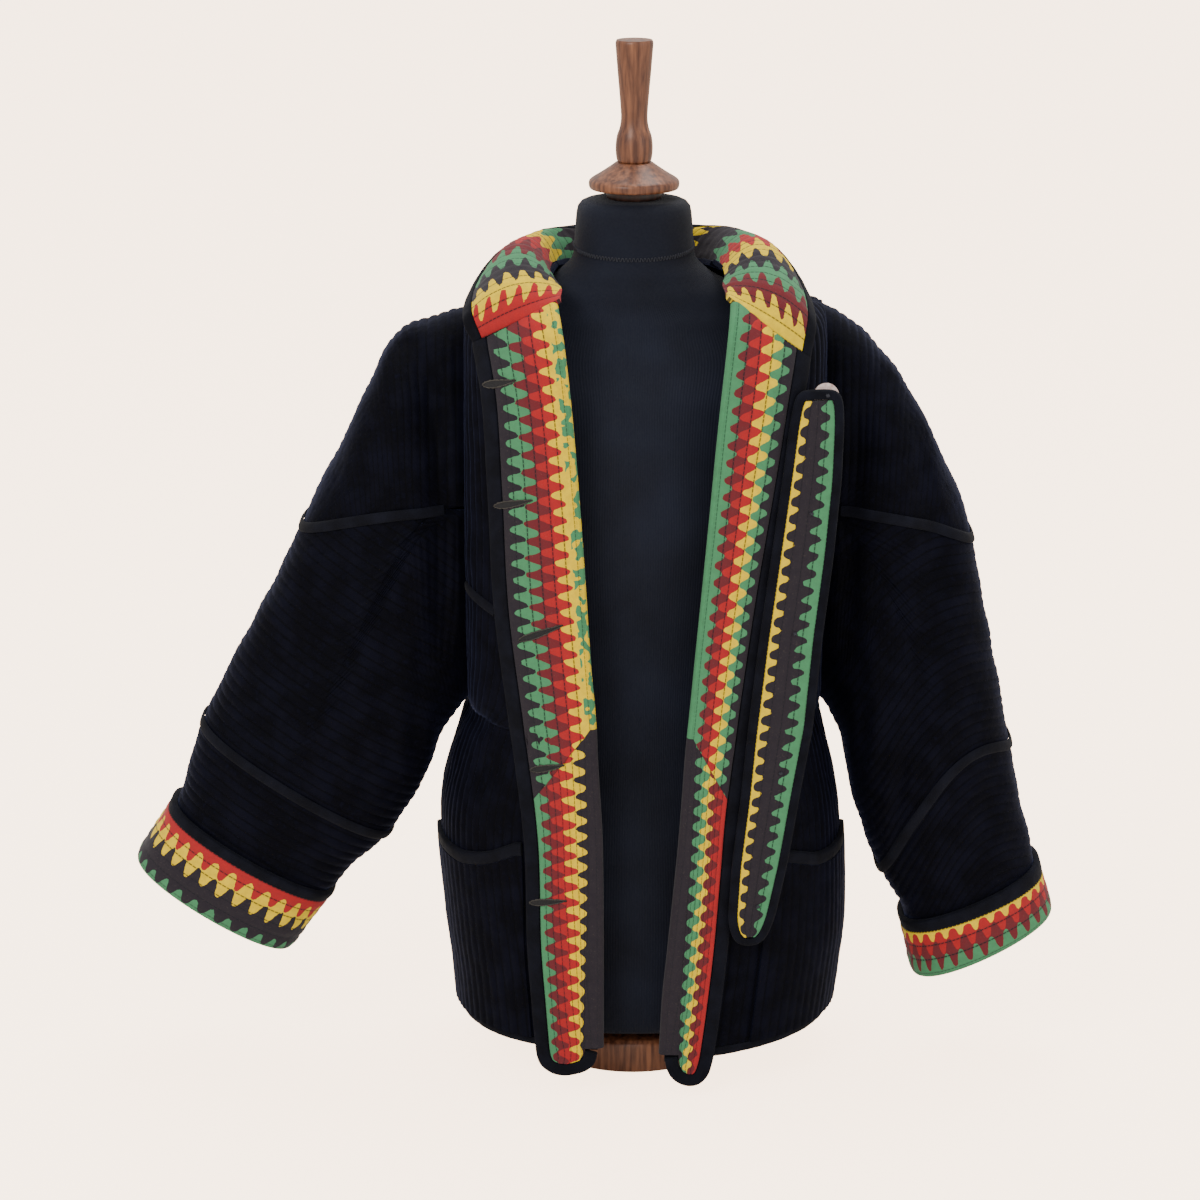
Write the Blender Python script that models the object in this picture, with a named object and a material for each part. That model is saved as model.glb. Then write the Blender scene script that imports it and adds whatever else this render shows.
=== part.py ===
"""Quilted velvet jacket worn open on a dress form.

Metres, +Z up. The object is seen from -Y with +X to the right, so "left" and
"right" are the viewer's. The origin is the centre of the wooden base's
underside, on the axis of the form. Sizes below are in millimetres and become
metres in make_object.
"""
import math

import bmesh
import bpy
import numpy as np

MM = 0.001

# Cloth and trims
CLOTH = 4.0            # quilted wall: velvet, wadding and printed lining
SEAM_GAP = 0.3         # between neighbouring pieces
QUILT_RISE = 1.3       # of the velvet between its sewn lines
LINING_RISE = 0.91
TAPE_WIDTH = 12.0
TAPE_PROUD = 0.8       # how far a bound edge stands over the cloth
LIP_RISE = 1.2         # of a binding's rim over the lower side of its cloth
TUCK = 0.4             # how far a binding passes under its cloth
EDGE_HIGH = 0.7        # a rounded rim's upper and lower corner, in walls
EDGE_LOW = 0.3
TURN_LIFT = 3.0        # between a front and the part turned back over it
SEAM_TAPE_WIDTH = 10.0
SEAM_TAPE_THICK = 2.2

# Outline of the jacket
UNDERARM_Z = 351.0
SHOULDER_Z = {"left": 717.0, "right": 720.0}
ARMHOLE_X = {"left": 152.0, "right": 172.0}
ARMHOLE_DEPTH = 72.0
LOOP_POWER = 0.7       # under 1 makes armholes and sleeves boxier than an ellipse
SIDES = {"left": -1.0, "right": 1.0}

# Fronts, a row for each level from hem to shoulder: where the front turns
# back (or meets the neck), then the side seam or armhole. x is measured
# outwards from the axis.
# Columns: fold_x, fold_y, fold_z, side_x, side_z
FRONT_ROWS = {
    "left": (
        (33, -136, 44, 164, 47),
        (33, -138, 98, 168, 98),
        (33, -139, 150, 174, 148),
        (34, -141, 250, 180, 250),
        (38, -142, 325, 161, 325),
        (39, -142, 351, 152, 351),
        (41, -142, 385, 152, 410),
        (44, -142, 425, 152, 478),
        (52, -141, 540, 152, 560),
        (60, -139, 640, 152, 630),
        (67, -130, 705, 152, 680),
        (73, -104, 740, 152, 706),
        (76, -55, 756, 152, 715.5),
        (70, 0, 760, 152, 717),
    ),
    "right": (
        (29, -136, 32, 188, 46),
        (32, -138, 96, 194, 96),
        (37, -139, 150, 198, 148),
        (46, -141, 250, 193, 250),
        (51, -142, 325, 177, 325),
        (53, -142, 351, 172, 351),
        (56, -142, 385, 172, 410),
        (59, -142, 425, 172, 478),
        (70, -141, 540, 172, 560),
        (79, -139, 640, 172, 632),
        (86, -130, 707, 172, 682),
        (89, -104, 742, 172, 709),
        (86, -55, 758, 172, 718.5),
        (72, 0, 762, 172, 720),
    ),
}
SEAM_ROW = 7           # level of the yoke seam
UNDERARM_ROW = 5
NECK_ROW = 11          # the back neckline starts at this level

# Back, by level: the centre line, which runs on along the neckline from the
# tenth row.
# Columns: centre_x, centre_y, centre_z
BACK_ROWS = (
    (0, 118, 45),
    (0, 121, 98),
    (0, 123, 148),
    (0, 122, 250),
    (0, 119, 325),
    (0, 118, 351),
    (0, 119, 400),
    (0, 122, 460),
    (0, 124, 555),
    (0, 116, 640),
    (0, 92, 706),
    (0, 66, 744),
    (48, 56, 752),
    (70, 0, 760),
)

# Sleeves, a row for each section: its top and bottom seen from the front,
# half its depth and how far it swings forwards.
# Columns: top_x, top_z, low_x, low_z, depth, forward
SLEEVE_ROWS = {
    "left": (
        (152, 717, 152, 351, 70, 0),
        (186, 706, 161, 343, 80, 2),
        (219, 690, 170, 331, 84, 5),
        (256, 616, 182, 309, 84, 10),
        (304, 520, 191, 288, 80, 16),
        (343, 443, 203, 264, 76, 20),
        (379, 375, 219, 239, 72, 22),
        (400, 333, 232, 221, 68, 23),
        (417, 285, 262, 192, 63, 24),
        (429, 250, 288, 164, 58, 24),
        (462, 199, 326, 113, 56, 24),
    ),
    "right": (
        (172, 720, 172, 351, 70, 0),
        (197, 705, 182, 342, 80, 2),
        (222, 683, 191, 322, 85, 5),
        (255, 636, 200, 294, 86, 10),
        (298, 547, 207, 258, 82, 16),
        (319, 470, 215, 234, 78, 20),
        (332, 402, 222, 214, 74, 22),
        (347, 330, 232, 190, 68, 23),
        (362, 262, 246, 165, 62, 24),
        (378, 196, 257, 140, 57, 24),
        (392, 148, 270, 86, 55, 24),
    ),
}

# Creases of the sleeves as seen from the front: points x outwards and z down
# the crease, then its depth and half width.
CREASES = {
    "left": (
        (((214, 706), (184, 650), (170, 602), (166, 545), (166, 430)), 13.0, 17.0),
    ),
    "right": (
        (((242, 680), (214, 650), (196, 612), (191, 540), (190, 420)), 9.0, 17.0),
        (((238, 684), (258, 600), (274, 500), (258, 360), (247, 285), (256, 180)), 5.0, 13.0),
    ),
}
CREASE_START = 8.0     # a crease fades out over this distance from the armhole
CREASE_FADE = 22.0

# Seams round the sleeves: the upper one leaves the armhole at this height and
# falls by this much towards the outside; the lower one has a section number on
# top, one below, and a bow between.
UPPER_SEAM_Z = 546.0
UPPER_SEAM_FALL = {"left": 26.0, "right": 36.0}
LOWER_SEAM = {"left": (7.0, 6.85, 0.0), "right": (7.25, 7.05, -0.75)}
CUFF_START = {"left": 8.9, "right": 9.0}
SLEEVE_END = 10.0

SECTION_ROUND = 2.3    # 2 is an ellipse, more is boxier
BODY_TURNS = 18        # half ridges from side to fold, and to the centre back
SLEEVE_TURNS = 20


def along(rows, position):
    """Smooth values between the rows of a table, at fractional row numbers."""
    table = np.asarray(rows, float)
    last = len(table) - 1
    position = np.clip(np.asarray(position, float), 0, last)
    base = np.minimum(position.astype(int), last - 1)
    part = (position - base)[..., None]
    before = table[np.maximum(base - 1, 0)]
    here = table[base]
    after = table[base + 1]
    beyond = table[np.minimum(base + 2, last)]
    slope = (after - before) * part
    bend = (2 * before - 5 * here + 4 * after - beyond) * part**2
    twist = (3 * here - before - 3 * after + beyond) * part**3
    return 0.5 * (2 * here + slope + bend + twist)


def unit(vectors):
    """Vectors of length one; a vector without length stays as it is."""
    length = np.linalg.norm(vectors, axis=-1, keepdims=True)
    return vectors / np.where(length > 1e-9, length, 1.0)


def armhole_depth(side, height):
    """Half depth of the armhole at a height, 0 below the underarm."""
    half = (SHOULDER_Z[side] - UNDERARM_Z) / 2
    rise = np.clip((height - UNDERARM_Z) / half - 1, -1, 1)
    return ARMHOLE_DEPTH * (1 - rise**2) ** (LOOP_POWER / 2)


def body_point(side, level, turn, back=False):
    """Outer surface of a front or half back: turn 0 is the side, 1 the fold or centre."""
    level, turn = np.broadcast_arrays(np.asarray(level, float), np.asarray(turn, float))
    row = along(FRONT_ROWS[side], level)
    inner = along(BACK_ROWS, level) if back else row[..., :3]
    side_x, side_z = row[..., 3], row[..., 4]
    side_y = armhole_depth(side, side_z) * (1 if back else -1)
    angle = np.clip(turn, 0, 1) * math.pi / 2
    out = np.abs(np.cos(angle)) ** (2 / SECTION_ROUND)
    reach = 1 - np.abs(np.sin(angle)) ** (2 / SECTION_ROUND)
    out = np.where(turn >= 1, 0, out)
    x = inner[..., 0] + (side_x - inner[..., 0]) * out
    y = inner[..., 1] + (side_y - inner[..., 1]) * reach
    z = inner[..., 2] + (side_z - inner[..., 2]) * out
    return np.stack([SIDES[side] * x, y, z], axis=-1)


def body_frame(side, level, turn, back=False):
    """Point, outward normal and direction away from the fold on the body."""
    level, turn = np.broadcast_arrays(np.asarray(level, float), np.asarray(turn, float))
    step = 0.01
    near = np.clip(turn, step * 2, 1 - step * 2)
    row = np.clip(level, step * 2, len(BACK_ROWS) - 1 - step * 2)
    up = body_point(side, row + step, near, back) - body_point(side, row - step, near, back)
    away = body_point(side, row, near - step, back) - body_point(side, row, near + step, back)
    point = body_point(side, level, turn, back)
    normal = unit(np.cross(up, away))
    outward = np.sum(normal[..., :2] * point[..., :2], axis=-1, keepdims=True)
    normal = normal * np.where(outward < 0, -1, 1)
    return point, normal, unit(away)


def flat_edges(side, normal, level, turn, back=False):
    """Keeps the wall's edges in the planes of the side seam, armhole and shoulder."""
    level, turn = np.broadcast_arrays(np.asarray(level, float), np.asarray(turn, float))
    normal = normal.copy()
    side_edge = turn <= 0
    normal[side_edge & (level <= UNDERARM_ROW), 1] = 0
    normal[side_edge & (level > UNDERARM_ROW), 0] = 0
    normal[level >= len(BACK_ROWS) - 1, 1] = 0
    if back:
        normal[(turn >= 1) & (level <= NECK_ROW), 0] = 0
    corner = side_edge & (level >= len(BACK_ROWS) - 1)
    normal[corner] = (0, 0, 1)
    return unit(normal)


def on_front(side, x, height):
    """Level and turn of the front's point with this x (outwards) and height."""
    x, height = np.broadcast_arrays(np.asarray(x, float), np.asarray(height, float))
    low = np.zeros(x.shape)
    high = np.full(x.shape, len(BACK_ROWS) - 1.0)
    for _ in range(26):
        level = (low + high) / 2
        row = along(FRONT_ROWS[side], level)
        out = np.clip((x - row[..., 0]) / (row[..., 3] - row[..., 0]), 0, 1)
        above = row[..., 2] + (row[..., 4] - row[..., 2]) * out > height
        high = np.where(above, level, high)
        low = np.where(above, low, level)
    turn = np.arccos(out ** (SECTION_ROUND / 2)) * 2 / math.pi
    return level, turn


def crease_depth(side, x, z):
    """How far the creases press the front of a sleeve in, seen from the front."""
    depth = np.zeros(np.shape(x))
    for points, deep, wide in CREASES[side]:
        nearest = np.full(np.shape(x), 1e9)
        for (x0, z0), (x1, z1) in zip(points, points[1:]):
            span = (x1 - x0) ** 2 + (z1 - z0) ** 2
            part = np.clip(((x - x0) * (x1 - x0) + (z - z0) * (z1 - z0)) / span, 0, 1)
            away = np.hypot(x - x0 - part * (x1 - x0), z - z0 - part * (z1 - z0))
            nearest = np.minimum(nearest, away)
        depth = np.maximum(depth, deep * np.exp(-((nearest / wide) ** 2)))
    fade = np.clip((x - ARMHOLE_X[side] - CREASE_START) / CREASE_FADE, 0, 1)
    return depth * fade


def sleeve_point(side, section, turn, creased=True):
    """Outer surface of a sleeve; turn 0 is the underarm, 90 the front, 180 the top."""
    section, turn = np.broadcast_arrays(np.asarray(section, float), np.asarray(turn, float))
    row = along(SLEEVE_ROWS[side], section)
    angle = np.radians(turn)
    high = (1 - np.cos(angle)) / 2
    x = row[..., 2] + (row[..., 0] - row[..., 2]) * high + SEAM_GAP
    z = row[..., 3] + (row[..., 1] - row[..., 3]) * high
    ahead = np.sin(angle)
    pressed = crease_depth(side, x, z) * np.clip(ahead * 3, 0, 1) * creased
    y = pressed - row[..., 5] - row[..., 4] * np.sign(ahead) * np.abs(ahead) ** LOOP_POWER
    return np.stack([SIDES[side] * x, y, z], axis=-1)


def sleeve_frame(side, section, turn):
    """Point, outward normal and direction towards the cuff on a sleeve."""
    section, turn = np.broadcast_arrays(np.asarray(section, float), np.asarray(turn, float))
    step = 0.02
    row = np.clip(section, step, SLEEVE_END - step)
    lower, upper, after, before, plain, opposite = (
        sleeve_point(side, *place, False) for place in (
            (row + step, turn), (row - step, turn), (row, turn + 1), (row, turn - 1),
            (section, turn), (section, turn + 180),
        )
    )
    down = lower - upper
    point = sleeve_point(side, section, turn)
    normal = unit(np.cross(down, after - before))
    outward = np.sum(normal * (plain - opposite), axis=-1, keepdims=True)
    normal = normal * np.where(outward < 0, -1, 1)
    normal[section <= 0, 0] = 0
    return point, unit(normal), unit(down)


def upper_seam(side, turn):
    """Section number of the upper seam at a turn; 0 where it lies in the armhole."""
    turn = np.asarray(turn, float)
    start = (UPPER_SEAM_Z - UNDERARM_Z) / (SHOULDER_Z[side] - UNDERARM_Z)
    high = (1 - np.cos(np.radians(turn))) / 2
    part = np.clip((high - start) / (1 - start), 0, 1)
    wanted = UPPER_SEAM_Z - UPPER_SEAM_FALL[side] * part**2
    low = np.zeros(turn.shape)
    far = np.full(turn.shape, 6.0)
    for _ in range(24):
        middle = (low + far) / 2
        above = sleeve_point(side, middle, turn)[..., 2] > wanted
        low = np.where(above, middle, low)
        far = np.where(above, far, middle)
    return np.where(part > 0, low, 0)


def lower_seam(side, turn):
    """Section number of the lower seam at a turn."""
    top, low, bow = LOWER_SEAM[side]
    high = (1 - np.cos(np.radians(turn))) / 2
    return low + (top - low) * high + 4 * bow * high * (1 - high)

# Edge of each turned-back front, from the bottom of the fold round the corner
# and up to the collar: x outwards and height of the binding's outer line.
FRONT_EDGE = {
    "left": (
        (33, 43), (36, 33), (43, 26), (53, 22), (64, 20), (75, 22), (84, 29), (88, 40), (90, 62),
        (92, 90), (96, 150),
        (98, 245), (106, 331), (122, 463), (127, 573), (131, 655), (139, 699),
    ),
    "right": (
        (29, 38), (31, 27), (36, 18), (44, 12), (53, 10), (61, 12), (68, 19), (72, 30), (75, 48),
        (80, 90), (86, 150),
        (91, 220), (97, 300), (117, 463), (133, 573), (144, 650), (151, 690),
    ),
}
EDGE_CORNER = {"left": 6.0, "right": 6.0}      # place of the lower corner in that list
MITRE = {"left": (361, 291), "right": (352, 292)}            # height at fold and edge
COLLAR_SEAM = {"left": (736, 699), "right": (737, 690)}

# Collar from its front end round to the middle of the back: base, the height
# of its roll, and edge. x is outwards.
# Columns: base x y z, roll x y z, edge x y z
COLLAR_ROWS = {
    "left": (
        (70, -86, 752.5, 114, -112, 768, 153, -92, 724),
        (76, -54, 759, 112, -66, 793, 150, -48, 737),
        (77, -20, 759.5, 100, -24, 801, 132, -18, 761),
        (72, 14, 758, 86, 20, 798, 108, 14, 771),
        (54, 47, 756.3, 64, 56, 789, 86, 42, 779),
        (27, 62, 752.6, 30, 69, 776, 50, 72, 781),
        (0, 66, 746.5, 0, 73, 770, 0, 82, 782),
    ),
    "right": (
        (83, -86, 755, 126, -114, 770, 161, -96, 722),
        (85, -54, 761, 121, -68, 796, 156, -50, 740),
        (82, -20, 764, 110, -24, 804, 139, -18, 763),
        (74, 14, 760.5, 94, 20, 800, 119, 14, 773),
        (55, 47, 756.3, 70, 56, 790, 95, 42, 781),
        (27, 62, 752.6, 34, 69, 777, 54, 72, 781),
        (0, 66, 746.5, 0, 73, 770, 0, 82, 782),
    ),
}

# Button strip: height, its edges outwards from the axis, and how far its
# back stands over the right front there.
# Columns: height, inner_x, outer_x
STRIP_ROWS = (
    (150, 100, 113), (156, 91, 121), (176, 86, 129), (230, 89, 140), (300, 97, 151), (358, 102, 161),
    (442, 111, 168), (520, 121, 177), (590, 130, 183), (640, 136, 184.5), (662, 140, 183.5), (670, 144, 179),
)
STRIP_TAPE = 8.0
STRIP_SLOPE = 0.12     # how far its outer edge turns back for each unit of width
STRIP_LIFT = 1.4       # between the turned-back front's binding and the strip
# Buttons: x and height, and the gap between each and the strip's back
BUTTONS = ((169, 664, 2.0), (156, 560, 0.9), (143, 450, 0.9), (132, 318, 0.9), (113, 190, 0.9))
BUTTON_RADIUS = 11.5
BUTTON_THICK = 4.0
BUTTON_SIDES = 12

# Bound mouths of the patch pockets, from the side to the turned-back front
POCKET_MOUTH = {
    "left": ((178, 226), (163, 224), (150, 226), (131, 233), (106, 247)),
    "right": ((200, 226), (186, 222), (170, 223), (155, 229), (127, 240)),
}
POCKET_CLEAR = {"left": 3.5, "right": 32.0}     # from the edge of the turned-back front
POCKET_SIDE = 0.03     # turn at which the pocket ends beside the side seam
POCKET_LIFT = 1.8
POCKET_THICK = 2.6
POCKET_RISE = 1.0

# Dress form: height, half width and half depth of its sections
# Columns: height, half_width, half_depth, forward, round
FORM_ROWS = (
    (42.3, 138, 92, 2, 2.2), (50, 146, 100, 2, 2.2), (90, 152, 104, 2, 2.2), (160, 154, 105, 2, 2.2),
    (250, 142, 97, 3, 2.2), (330, 126, 89, 4, 2.2), (420, 132, 93, 5, 2.2), (520, 143, 103, 8, 2.2),
    (590, 147, 103, 7, 2.1), (640, 161, 94, 3, 2.0), (672, 174, 76, 0, 2.0), (686, 173, 68, 0, 2.0),
    (700, 163, 60, 0, 2.0), (712, 148, 56, 0, 2.1), (724, 124, 53, -1, 2.1), (736, 99, 51, -1, 2.1),
    (746, 77, 49, -1, 2.1), (754, 65.4, 48.2, -1, 2.1), (764, 56, 47, -2, 2.1), (780, 54, 47, -3, 2.0),
    (806, 52, 46, -3, 2.0), (813, 49, 43, -3, 2.0), (816.5, 43, 38, -3, 2.0), (817.5, 24, 24, -3, 2.0),
)
FORM_SIDES = 20
NECK_RING = ((817.8, 22), (818.3, 25), (825.2, 25), (825.7, 22))
NECK_CAP = ((826, 30), (826, 38), (827.5, 40.5), (832, 41), (835, 39), (840, 31), (846, 22), (850, 16.5))
FINIAL = (
    (850.3, 14.5), (852, 15.6), (858, 16.6), (866, 16.7), (874, 15.6), (881, 13.2), (889, 12),
    (898, 12.3), (912, 13.4), (930, 15), (950, 16.6), (957, 17), (959.6, 16),
)
BASE = ((0, 86), (2, 88), (24, 88), (29, 86), (32, 80), (35, 56), (42, 52))
TURNED_SIDES = 16
NECK_AXIS_Y = 3.0

FINISHES = {
    "velvet": ((0.006, 0.006, 0.011), 0.85),
    "tape": ((0.014, 0.017, 0.028), 0.8),
    "lining": ((0.34, 0.045, 0.035), 0.85),
    "jersey": ((0.012, 0.018, 0.032), 0.9),
    "dark_wood": ((0.06, 0.025, 0.015), 0.5),
    "wood": ((0.30, 0.13, 0.07), 0.45),
    "shell": ((0.75, 0.58, 0.54), 0.3),
}


def make_object(name, points, faces, finish):
    """A closed object from points in millimetres, its faces turned outwards."""
    mesh = bpy.data.meshes.new(name)
    shape = bmesh.new()
    corners = [shape.verts.new([value * MM for value in point]) for point in points]
    for face in faces:
        shape.faces.new([corners[i] for i in face])
    bmesh.ops.remove_doubles(shape, verts=shape.verts, dist=0.000005)
    bmesh.ops.recalc_face_normals(shape, faces=shape.faces)
    shape.to_mesh(mesh)
    shape.free()
    made = bpy.data.objects.new(name, mesh)
    made.data.materials.append(finish_named(finish))
    bpy.context.collection.objects.link(made)
    mesh.shade_smooth()
    mesh.set_sharp_from_angle(angle=math.radians(50))
    return made


def finish_named(name):
    """The Principled material of a finish, made once."""
    if name in bpy.data.materials:
        return bpy.data.materials[name]
    colour, roughness = FINISHES[name]
    material = bpy.data.materials.new(name)
    material.use_nodes = True
    shader = material.node_tree.nodes["Principled BSDF"]
    shader.inputs["Base Color"].default_value = (*colour, 1)
    shader.inputs["Roughness"].default_value = roughness
    return material


def zipper(points, first, second):
    """Triangles between two chains of corners that run side by side."""
    faces = []
    i = j = 0
    steps, others = len(first) - 1, len(second) - 1
    while i < steps or j < others:
        if i < steps and j < others:
            ahead = np.linalg.norm(points[first[i + 1]] - points[second[j]])
            forward = ahead <= np.linalg.norm(points[first[i]] - points[second[j + 1]])
        else:
            forward = i < steps
        if forward:
            faces.append((first[i], first[i + 1], second[j]))
            i += 1
        else:
            faces.append((first[i], second[j + 1], second[j]))
            j += 1
    return faces


def shell(name, outer, inner, finish, ring=False):
    """A wall between two grids of points; ring joins the last column to the first."""
    points = np.concatenate([outer.reshape(-1, 3), inner.reshape(-1, 3)])
    faces = []
    numbers = []
    start = 0
    for grid in (outer, inner):
        rows, columns = grid.shape[:2]
        index = start + np.arange(rows * columns).reshape(rows, columns)
        start += rows * columns
        if ring:
            index = np.concatenate([index, index[:, :1]], axis=1)
        numbers.append(index)
        for row in range(index.shape[0] - 1):
            for column in range(index.shape[1] - 1):
                faces.append((
                    index[row, column], index[row, column + 1],
                    index[row + 1, column + 1], index[row + 1, column],
                ))
    front, behind = numbers
    faces += zipper(points, front[0], behind[0])
    faces += zipper(points, front[-1], behind[-1])
    if not ring:
        faces += zipper(points, front[:, 0], behind[:, 0])
        faces += zipper(points, front[:, -1], behind[:, -1])
    return make_object(name, points.tolist(), faces, finish)


def every(count, step):
    """Places of each step-th row or column, with the last one."""
    return np.unique(np.append(np.arange(0, count, step), count - 1))


def eased(grid, axis, place, by):
    """Draws an edge of a grid back from its neighbour by a small distance."""
    grid = np.swapaxes(grid, 0, axis).copy()
    beside = 1 if place == 0 else -2
    grid[place] = grid[place] + unit(grid[beside] - grid[place]) * by
    return np.swapaxes(grid, 0, axis)


def spaced(points, count, first=0.0, last=None):
    """Evenly spaced places on the smooth curve through a list of points."""
    last = len(points) - 1 if last is None else last
    curve = along(points, np.linspace(first, last, 240))
    run = np.concatenate([[0], np.cumsum(np.linalg.norm(np.diff(curve, axis=0), axis=1))])
    wanted = np.linspace(0, run[-1], count)
    return np.stack([np.interp(wanted, run, column) for column in curve.T], axis=1)


def inset(line, by):
    """A line moved to its left; lines run round their piece with it on the left."""
    way = unit(np.gradient(line, axis=0))
    return line + np.stack([-way[:, 1], way[:, 0]], axis=1) * by


def patch(bottom, top, left, right):
    """Grid between four edge lines, bottom and top from left to right."""
    across = np.linspace(0, 1, len(bottom))[None, :, None]
    upward = np.linspace(0, 1, len(left))[:, None, None]
    ruled = (1 - upward) * bottom[None] + upward * top[None]
    sides = (1 - across) * left[:, None] + across * right[:, None]
    low = (1 - across) * bottom[0] + across * bottom[-1]
    high = (1 - across) * top[0] + across * top[-1]
    return ruled + sides - (1 - upward) * low - upward * high


def ridges(count):
    """1 at each odd place, 0 between."""
    return np.arange(count) % 2


def body_half(side, levels, back):
    """Outer and inner points of a front or half back at a list of levels."""
    levels = np.array(levels, float)[:, None]
    turns = np.linspace(0, 1, BODY_TURNS + 1)[None, :]
    point, normal, _ = body_frame(side, levels, turns, back)
    normal = flat_edges(side, normal, levels, turns, back)
    raised = ridges(BODY_TURNS + 1) * QUILT_RISE
    raised[1] = 0
    if not back:
        raised = np.where(turns[0] > HIDDEN_TURN, 0, raised)
    height = np.tile(raised, (len(levels), 1))
    height[0] = height[-1] = 0
    outer = point + normal * height[..., None]
    inner = point - normal * CLOTH
    outer, inner = (eased(grid, 1, 0, SEAM_GAP / 2) for grid in (outer, inner))
    if not back:
        outer, inner = (eased(grid, 1, -1, FOLD_GAP) for grid in (outer, inner))
    return outer, inner[:, every(BODY_TURNS + 1, 4)]


HEM_LEVEL = 0.23       # the hem's binding reaches this level
HIDDEN_TURN = 0.5      # past this turn the turned-back part covers a front
FOLD_GAP = 1.0         # between a front's edge and the roll round it
LOWER_LEVELS = (HEM_LEVEL, 1.2, 2.2, 3.2, 4.2, UNDERARM_ROW, 5.35, 5.9, SEAM_ROW)
FRONT_YOKE_LEVELS = (SEAM_ROW, 7.6, 8.2, 8.8, 9.3, 9.8, 10.3, 10.8, 11.3, 12, 13)
BACK_YOKE_LEVELS = (SEAM_ROW, 8, 9, 10, NECK_ROW, 11.6, 12.3, 13)


def make_body():
    """Fronts, back and yokes."""
    half = SEAM_GAP / 2
    for side in SIDES:
        grids = [eased(g, 0, -1, half) for g in body_half(side, LOWER_LEVELS, False)]
        shell(f"front_{side}", *grids, "velvet")
        grids = body_half(side, FRONT_YOKE_LEVELS, False)
        grids = [eased(eased(g, 0, -1, half), 0, 0, half) for g in grids]
        shell(f"front_yoke_{side}", *grids, "velvet")
        grids = body_half(side, BACK_YOKE_LEVELS, True)
        for axis, place in ((0, 0), (0, -1), (1, -1)):
            grids = [eased(g, axis, place, half) for g in grids]
        shell(f"back_yoke_{side}", *grids, "velvet")
    halves = [body_half(side, LOWER_LEVELS, True) for side in SIDES]
    joined = [np.concatenate([a, b[:, -2::-1]], axis=1) for a, b in zip(*halves)]
    shell("back", *(eased(g, 0, -1, half) for g in joined), "velvet")


def make_hems():
    """Bindings of the hem: each front and the back."""
    levels = np.array([0, 0.04, HEM_LEVEL - 0.016])[:, None]
    turns = np.linspace(0, 1, BODY_TURNS + 1)[None, :]
    halves = {}
    for side in SIDES:
        for back in (False, True):
            point, normal, _ = body_frame(side, levels, turns, back)
            normal = flat_edges(side, normal, levels, turns)
            proud = np.array([-1.0, TAPE_PROUD, TAPE_PROUD])[:, None, None]
            outer = eased(point + normal * proud, 1, 0, SEAM_GAP / 2)
            inner = eased(point - normal * (CLOTH + proud), 1, 0, SEAM_GAP / 2)
            halves[side, back] = outer, inner[:, every(BODY_TURNS + 1, 2)]
        shell(f"hem_binding_front_{side}", *halves[side, False], "tape")
    joined = [
        np.concatenate([a, b[:, -2::-1]], axis=1)
        for a, b in zip(halves["left", True], halves["right", True])
    ]
    shell("hem_binding_back", *joined, "tape")


def sleeve_grid(side, sections, turns, raised):
    """Outer and inner points of a sleeve for a grid of section numbers."""
    point, normal, _ = sleeve_frame(side, sections, turns)
    clear = np.abs(point[..., 0]) - ARMHOLE_X[side] - SEAM_GAP
    height = raised[:, None] * np.clip(clear / 14, 0, 1)
    return point + normal * height[..., None], point - normal * CLOTH


def make_sleeves():
    """Upper, middle and lower sleeve on each side."""
    rows = {"upper": 11, "middle": 11, "lower": 5}
    step = 360 / SLEEVE_TURNS
    turns = np.arange(SLEEVE_TURNS) * step
    for side in SIDES:
        seam = upper_seam(side, turns)
        over = turns[seam > 0]
        ends = over[0] - step + 1.5, over[-1] + step - 1.5
        over = np.concatenate([[ends[0]], over, [ends[1]]])
        reach = upper_seam(side, over)
        reach[0] = reach[-1] = 0
        part = np.linspace(0, 1, rows["upper"])
        raised = ridges(rows["upper"]) * QUILT_RISE
        outer, inner = sleeve_grid(side, part[:, None] * reach, over[None, :], raised)
        outer, inner = (draw_back(g, -1) for g in (outer, inner))
        shell(f"sleeve_upper_{side}", outer, inner[every(rows["upper"], 2)], "velvet")

        low = lower_seam(side, turns)
        part = np.linspace(0, 1, rows["middle"])[:, None]
        raised = ridges(rows["middle"]) * QUILT_RISE
        outer, inner = sleeve_grid(side, seam + (low - seam) * part, turns[None, :], raised)
        outer, inner = (eased(eased(g, 0, 0, SEAM_GAP / 2), 0, -1, SEAM_GAP / 2) for g in (outer, inner))
        shell(f"sleeve_middle_{side}", outer, inner[every(rows["middle"], 2)], "velvet", True)

        start = CUFF_START[side]
        part = np.linspace(0, 1, rows["lower"])[:, None]
        sections = low + (start - low) * part
        under = np.array([(start + SLEEVE_END) / 2, SLEEVE_END])[:, None]
        sections = np.concatenate([sections, np.broadcast_to(under, (2, len(turns)))])
        raised = np.append(ridges(rows["lower"]) * QUILT_RISE, [0, 0])
        outer, inner = sleeve_grid(side, sections, turns[None, :], raised)
        outer, inner = (eased(g, 0, 0, SEAM_GAP / 2) for g in (outer, inner))
        shell(f"sleeve_lower_{side}", outer, inner[every(len(sections), 2)], "velvet", True)


def draw_back(grid, place):
    """eased for a piece that runs out to a point at both ends."""
    grid = grid.copy()
    grid[:, 1:-1] = eased(grid[:, 1:-1], 0, place, SEAM_GAP / 2)
    return grid


ROLL_ANGLES = np.radians([55, 120, 180])
CUFF_LIFT = 1.0
CUFF_ROWS = 5


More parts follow.
